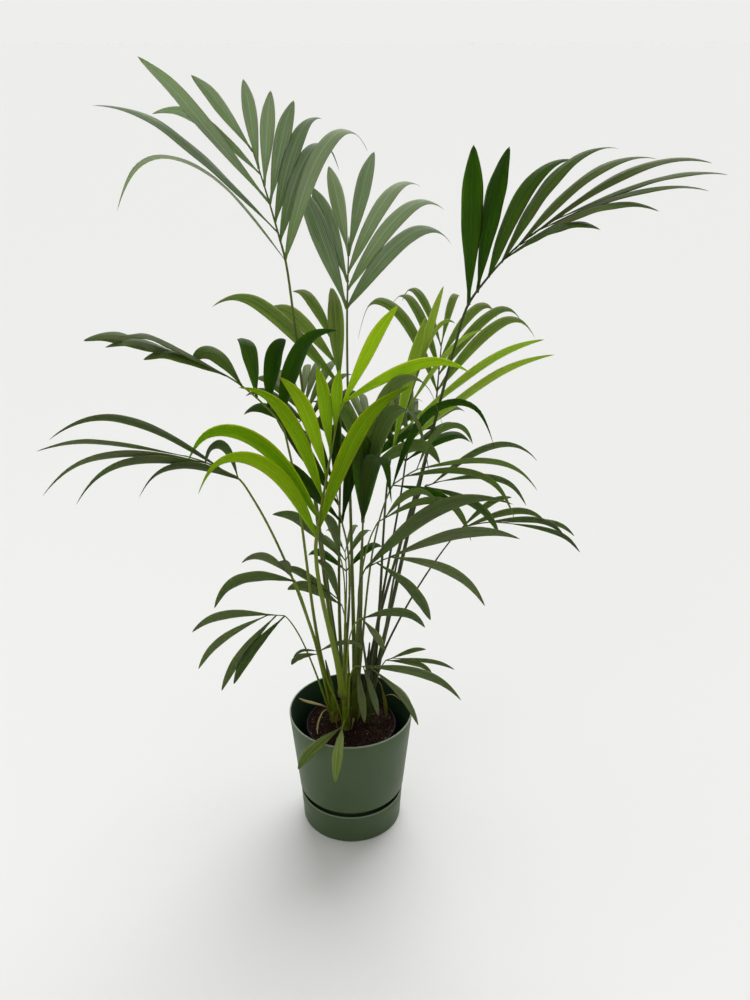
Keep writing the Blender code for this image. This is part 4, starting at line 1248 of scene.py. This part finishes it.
def square_to(vectors, along):
    """Vectors made square to a line's directions, with a length of one."""
    return unit(vectors - along * (vectors * along).sum(1, keepdims=True))


def rise_between(value, low, high):
    """How far a value has come from low to high, from 0 to 1."""
    return np.clip((value - low) / (high - low), 0, 1)


steps = np.array([[0.0], [1.0], [1.0], [0.0]])
print("halfway along 0, 1, 1, 0 the curve is at", smooth(steps, np.array([0.5]))[0, 0])

# %% [markdown]
# ## One fine leaflet
# The plain blade of three points to a station becomes a real one: sixteen points round,
# nine above and seven below, at over thirty stations. Its two halves fall away from the
# midrib like a shallow roof, its edges ripple a little, its foot is pinched and its tip
# is drawn out. It is closed all round, half a millimetre thick.

# %% Fine leaflet
BLADE_STATIONS = 34
BLADE_U = (-1.0, -0.74, -0.48, -0.22, 0.0, 0.22, 0.48, 0.74, 1.0)
BLADE_THICKNESS = 0.0006
ROOF_FOOT, ROOF_TIP = 0.42, 0.12
RIPPLE = 0.05
TWIST = 12.0
WIDEST_STIFF, WIDEST_HUNG = 1.45, 0.95
HUNG_FROM, HUNG_TO = 20.0, 90.0
HUNG_NARROWER = 0.15
SHORT_LEAF, LONG_LEAF = 0.15, 0.24
TAIL_FROM, TAIL_THINNER = 0.62, 0.62


def fine_outline(shares, hang):
    """A leaflet's half width as a share of its widest: a stiff one is widest past its middle
    and ends bluntly, and a long one that hangs is widest before it and has a thin tail."""
    widest = WIDEST_STIFF + (WIDEST_HUNG - WIDEST_STIFF) * hang
    round_part = np.maximum(np.sin(pi * shares ** widest), LEAF_FOOT_SHARE) ** 0.75
    late = rise_between(shares, TAIL_FROM, 1.0)
    tail = 1 - TAIL_THINNER * hang * late * late * (3 - 2 * late)
    return round_part * tail * (1 - HUNG_NARROWER * hang)


def fine_blade(rows, half_width, chance):
    """Points, faces, undersides and map of one leaflet round its line."""
    points, _, across = (np.array([row[part][:] for row in rows]) for part in range(3))
    shares = np.linspace(0, 1, BLADE_STATIONS + 1)
    line = smooth(points, shares)
    along = unit(np.gradient(line, axis=0))
    side = square_to(smooth(across, shares), along)
    ridge = np.cross(side, along)
    twist = np.radians(TWIST * (chance.random() - 0.5) * 2 * shares ** 2)[:, None]
    side, ridge = (
        side * np.cos(twist) + ridge * np.sin(twist), ridge * np.cos(twist) - side * np.sin(twist))
    fall = np.degrees(np.arccos(np.clip((along[1] * along[-1]).sum(), -1, 1)))
    length = np.linalg.norm(np.diff(line, axis=0), axis=1).sum()
    hang = rise_between(fall, HUNG_FROM, HUNG_TO) * rise_between(length, SHORT_LEAF, LONG_LEAF)
    width = half_width * fine_outline(shares, hang)
    roof = ROOF_FOOT + (ROOF_TIP - ROOF_FOOT) * shares
    waves = 2 + 2 * chance.random()
    start = chance.random(2) * 2 * pi
    around = np.array(BLADE_U + BLADE_U[-2:0:-1])
    reach = np.abs(around)
    above = np.array([1.0] * len(BLADE_U) + [-1.0] * (len(BLADE_U) - 2))
    above[[0, len(BLADE_U) - 1]] = 0.0
    rings = []
    for share, place, out, up, wide, fold in zip(shares, line, side, ridge, width, roof):
        ripple = np.sin(2 * pi * waves * share + start[(around > 0).astype(int)])
        rise = wide * (fold * (0.65 - reach) + RIPPLE * ripple * reach ** 2)
        rise = rise + above * BLADE_THICKNESS * (0.5 - 0.25 * reach)
        rings.append(place + out * (around * wide)[:, None] + up * rise[:, None])
    count = len(around)
    low, tip = (BLADE_STATIONS - 1) * count, BLADE_STATIONS * count
    faces = side_faces(BLADE_STATIONS, count)
    faces += [[low + corner, low + (corner + 1) % count, tip] for corner in range(count)]
    under = [int(corner >= len(BLADE_U) - 1) for corner in range(count)] * BLADE_STATIONS
    faces.append(list(range(count))[::-1])
    under.append(0)
    across_map = np.append(np.tile((around + 1) / 2, BLADE_STATIONS), 0.5)
    along_map = np.append(np.repeat(shares[:-1], count), 1.0)
    shape = np.vstack([*rings[:-1], line[-1]])
    return shape, faces, under, np.stack([across_map, along_map], axis=1)


print(BLADE_STATIONS, "stations of", 2 * len(BLADE_U) - 2, "points")

# %% [markdown]
# ## All the leaflets
# The leaflets are joined by tint, because each tint is one finish of the record. The
# draws for twist, ripple and tone come from one seed for each frond, so a change to one
# frond leaves the others as they are.

# %% Leaflets by tint
FIRST_LEAF_SEED = 100
SLIMMER = {"frond_left_long": 0.78, "frond_right_light": 0.85}
frond_seed = {name: FIRST_LEAF_SEED + number for number, name in enumerate(FRONDS)}

for tint, finishes in leaf_finishes.items():
    names = [name for name, frond in FRONDS.items() if frond.tint == tint]
    leaflets = Gathered()
    for name in names:
        chance = np.random.default_rng(frond_seed[name])
        crown, midrib = Vector(FRONDS[name].crown), FRONDS[name].midrib
        for rows, half_width in leaves[name]:
            blade_parts = fine_blade(rows, half_width * SLIMMER.get(name, 1.0), chance)
            leaflets.add(
                *blade_parts, tone=chance.random(),
                far_along=(rows[0][0] - crown).length / midrib)
    hand_over(leaflets.join("leaflets_" + tint, finishes), "leaf_" + tint, *names)

# %% [markdown]
# ## Stalk green
# Stalks are smooth and a little glossy, with fine fibres along them. Those of young
# fronds are yellow green, the others darker, and all turn paler and browner at the foot
# where the old sheath dries. V runs along the stalk, so one ramp over it does that.

# %% Stalk finishes
STALK_TINTS = {
    "young": ((0.125, 0.175, 0.010), (0.120, 0.115, 0.022)),
    "grown": ((0.085, 0.118, 0.012), (0.080, 0.078, 0.018)),
    "old": ((0.040, 0.052, 0.012), (0.050, 0.046, 0.016)),
}
STALK_OF_STEM = {
    "left": "young", "front": "young", "middle": "grown", "back_left": "grown",
    "right": "old", "back_right": "old",
}
STALK_SHEEN = 0.20
DRY_FOOT = (0.02, 0.17)


def stalk_finish(name, green, dry, seed):
    """A smooth fibrous stalk, drier at its foot."""
    material = new_material(name, green, 0.42, STALK_SHEEN)
    let_light_in(material, 0.05, (0.004, 0.006, 0.002))
    flat = add_node(material, "UVMap", uv_map=BLADE_MAP)
    along = add_node(material, "SeparateXYZ", {"Vector": flat}, "Y")
    stretched = add_node(material, "Mapping", {
        "Vector": flat, "Scale": (26.0, 3.0, 1.0), "Location": (seed, 0, 0)})
    fibre = clouds(material, stretched, 1.0, 5.0, 0.65)
    fresh = ramp(material, fibre, [(0.30, scaled(green, 0.70)), (0.70, scaled(green, 1.35))])
    dried = ramp(material, fibre, [(0.30, scaled(dry, 0.5)), (0.70, dry)])
    low = remap(material, along, *DRY_FOOT, 0.85, 0.0)
    gloss = remap(material, fibre, 0.0, 1.0, 0.32, 0.58)
    dress(material, mix(material, low, fresh, dried), gloss, fibre, 0.3, 0.0006)
    return material


def stalk_kind(stem_name):
    """Which of the stalk finishes a stem and its stalks have."""
    return list(STALK_TINTS).index(STALK_OF_STEM[stem_name])


stalk_finishes = [
    stalk_finish("stalk_" + name, green, dry, 5.1 * number)
    for number, (name, (green, dry)) in enumerate(STALK_TINTS.items())]
print(len(stalk_finishes), "stalk greens")

# %% [markdown]
# ## Stalks and midribs
# A stalk is round below and has a shallow channel on the side that faces the stem. Its
# foot widens into a sheath that clasps the stem, and its far end runs on as the midrib
# and thins to nothing between the last leaflets. A rounded ring of twelve points follows
# the smooth line, and closed ends finish it.

# %% Stalks
STALK_RING = 12
STALK_STATIONS = 64
STALK_ROUND = 0.84
STALK_SWELL = 0.85
CHANNEL_DEPTH, CHANNEL_WIDTH = 0.26, 0.55
SHEATH_REACH = 0.028


def channelled(line, radii, upper, flare):
    """A closed tube with a channel along the side that upper points to."""
    along = unit(np.gradient(line, axis=0))
    up = square_to(upper, along)
    side = np.cross(along, up)
    turns = np.arange(STALK_RING) * 2 * pi / STALK_RING
    near = np.minimum(turns, 2 * pi - turns)
    hollow = 1 - CHANNEL_DEPTH * np.exp(-((near / CHANNEL_WIDTH) ** 2))
    rings = []
    for place, out, high, radius, wide in zip(line, side, up, radii, flare):
        ring = out * (np.sin(turns) * hollow * radius * wide)[:, None]
        rings.append(place + ring + high * (np.cos(turns) * hollow * radius)[:, None])
    return np.concatenate(rings)


stalk_faces = tube_faces(STALK_STATIONS, STALK_RING, turned=True)
shares = np.linspace(0, 1, STALK_STATIONS)
flare = 1 + 0.55 * np.exp(-((shares / 0.13) ** 2))
stalks = Gathered()
for name, frond in FRONDS.items():
    rib_points, rib_radii, out = ribs[name]
    stem = STEMS[frond.stem]
    foot = rib_points[0]
    reach = min(SHEATH_REACH, frond.foot * 0.9)
    below = stem_axis(stem, max(frond.foot - reach, 0.0) / stem.height)
    low = foot.lerp(below, 0.75)
    low.z = below.z
    line = [low, foot.lerp(low, 0.5), *rib_points]
    radii = np.array([rib_radii[0], rib_radii[0] * 1.15, *rib_radii])
    frames = midrib_frames(frond)
    upper = [-out, -out]
    for step in range(len(rib_points)):
        face = frames[max(step - STALK_STEPS, 0)][3]
        upper.append((-out).lerp(face, min(step / STALK_STEPS, 1.0)))
    line, upper = (smooth(np.array([each[:] for each in run]), shares) for run in (line, upper))
    radius = smooth(radii[:, None], shares)[:, 0] * STALK_ROUND
    radius[-1] *= 0.35
    radius *= 1 + STALK_SWELL * np.exp(-((shares / 0.42) ** 2))
    shape = channelled(line, radius, upper, flare)
    stalks.add(shape, stalk_faces, stalk_kind(frond.stem), tube_map(STALK_STATIONS, STALK_RING))
hand_over(stalks.join("stalks", stalk_finishes), "stem_green", *FRONDS)

# %% [markdown]
# ## Stems
# Each short stem is a stack of old leaf sheaths, one inside the other. Every sheath ends
# in a slightly raised, dried edge, and fine fibres run down it. The relief is in the
# mesh: the radius steps at each sheath and ripples round the stem.

# %% Stems
STEM_FINE_SIDES = 28
STEM_FINE_RINGS = 72
SHEATHS = 5
SHEATH_STEP = 0.16
FIBRE_RIPPLE, BROAD_RIPPLE = 0.045, 0.03
STEM_SUNK = 0.004
FIRST_STEM_SEED = 40

turns = np.arange(STEM_FINE_SIDES) * 2 * pi / STEM_FINE_SIDES
stem_faces = tube_faces(STEM_FINE_RINGS, STEM_FINE_SIDES)
stems = Gathered()
for number, (name, stem) in enumerate(STEMS.items()):
    start = np.random.default_rng(FIRST_STEM_SEED + number).random(3) * 2 * pi
    rings = []
    for share in np.arange(STEM_FINE_RINGS) / (STEM_FINE_RINGS - 1):
        slope = share * SHEATHS + 0.18 * np.sin(turns + start[0])
        step = 1 + SHEATH_STEP * ((slope - np.floor(slope)) ** 3 - 0.35)
        fibres = 1 + FIBRE_RIPPLE * np.sin(9 * turns + start[1]) + BROAD_RIPPLE * np.sin(
            5 * turns + start[2] + 3 * share)
        close = 1 - 0.72 * max((share - 0.50) / 0.50, 0) ** 1.4
        radius = stem_radius(share) * step * fibres * close
        ring = np.stack([np.cos(turns) * radius, np.sin(turns) * radius, 0 * turns], axis=1)
        rings.append(np.array(stem_axis(stem, share)) + ring)
    rings[0][:, 2] -= STEM_SUNK
    stems.add(
        np.concatenate(rings), stem_faces, stalk_kind(name),
        tube_map(STEM_FINE_RINGS, STEM_FINE_SIDES))
stem_nodes = ["stem_" + name for name in STEMS]
hand_over(stems.join("stems", stalk_finishes), "stem_green", *stem_nodes)

# %% [markdown]
# ## Dry scraps at the foot
# Every grown palm keeps a few withered strips at its foot: a curled leaf that leans on
# the planter's wall, a thin arc over the soil, a brown strap and some split sheaths. Each
# is the same fine blade along a few given points, narrow and in a dried finish.

# %% Dry scraps
DRY_STRIPS = {
    "curled_leaf": (((-0.040, 0.026, 0.236), (-0.058, 0.026, 0.247), (-0.076, 0.029, 0.251),
                     (-0.094, 0.035, 0.252), (-0.110, 0.040, 0.256)), 0.0045, "straw"),
    "thin_arc": (((-0.040, 0.028, 0.240), (-0.056, 0.014, 0.243), (-0.064, -0.004, 0.238),
                  (-0.068, -0.022, 0.230), (-0.067, -0.040, 0.224)), 0.0022, "straw"),
    "brown_strap": (((0.050, 0.000, 0.335), (0.060, 0.002, 0.318), (0.067, 0.006, 0.289),
                     (0.071, 0.012, 0.254), (0.072, 0.018, 0.225)), 0.0048, "brown"),
    "far_thread": (((0.060, 0.056, 0.240), (0.074, 0.058, 0.250), (0.086, 0.056, 0.253),
                    (0.096, 0.051, 0.250), (0.106, 0.044, 0.244)), 0.0018, "straw"),
    "short_chip": (((0.048, 0.024, 0.229), (0.043, 0.018, 0.231), (0.039, 0.012, 0.231),
                    (0.036, 0.006, 0.230), (0.032, 0.000, 0.228)), 0.0024, "straw"),
    "split_sheath": (((0.012, -0.004, 0.220), (0.013, -0.005, 0.232), (0.015, -0.005, 0.244),
                      (0.017, -0.005, 0.256), (0.018, -0.004, 0.268)), 0.0050, "brown"),
    "torn_sheath": (((0.001, -0.020, 0.220), (0.002, -0.022, 0.229), (0.004, -0.023, 0.238),
                     (0.005, -0.024, 0.247), (0.005, -0.026, 0.256)), 0.0042, "straw"),
    "old_stub": (((-0.028, -0.010, 0.219), (-0.030, -0.012, 0.232), (-0.031, -0.014, 0.245),
                  (-0.031, -0.015, 0.258), (-0.030, -0.016, 0.271)), 0.0050, "brown"),
}
DRY_TINTS = {"straw": (0.230, 0.190, 0.085), "brown": (0.120, 0.085, 0.022)}
DRY_SEED = 77

dry_finishes = [
    leaf_finish("dry_" + name, dry, dry, 0.60, 0.05, 31.0 + number)
    for number, (name, dry) in enumerate(DRY_TINTS.items())]
chance = np.random.default_rng(DRY_SEED)
scraps = Gathered()
for places, half_width, tint in DRY_STRIPS.values():
    line = np.array(places)
    run = np.gradient(line, axis=0)
    level = np.cross(run, (0.0, 0.0, 1.0)) + np.array((0.0006, 0.0, 0.0))
    shape, faces, _, flat = fine_blade(list(zip(line, run, unit(level))), half_width, chance)
    scraps.add(shape, faces, list(DRY_TINTS).index(tint), flat, tone=chance.random())
hand_over(scraps.join("dry_scraps", dry_finishes), "stem_green")
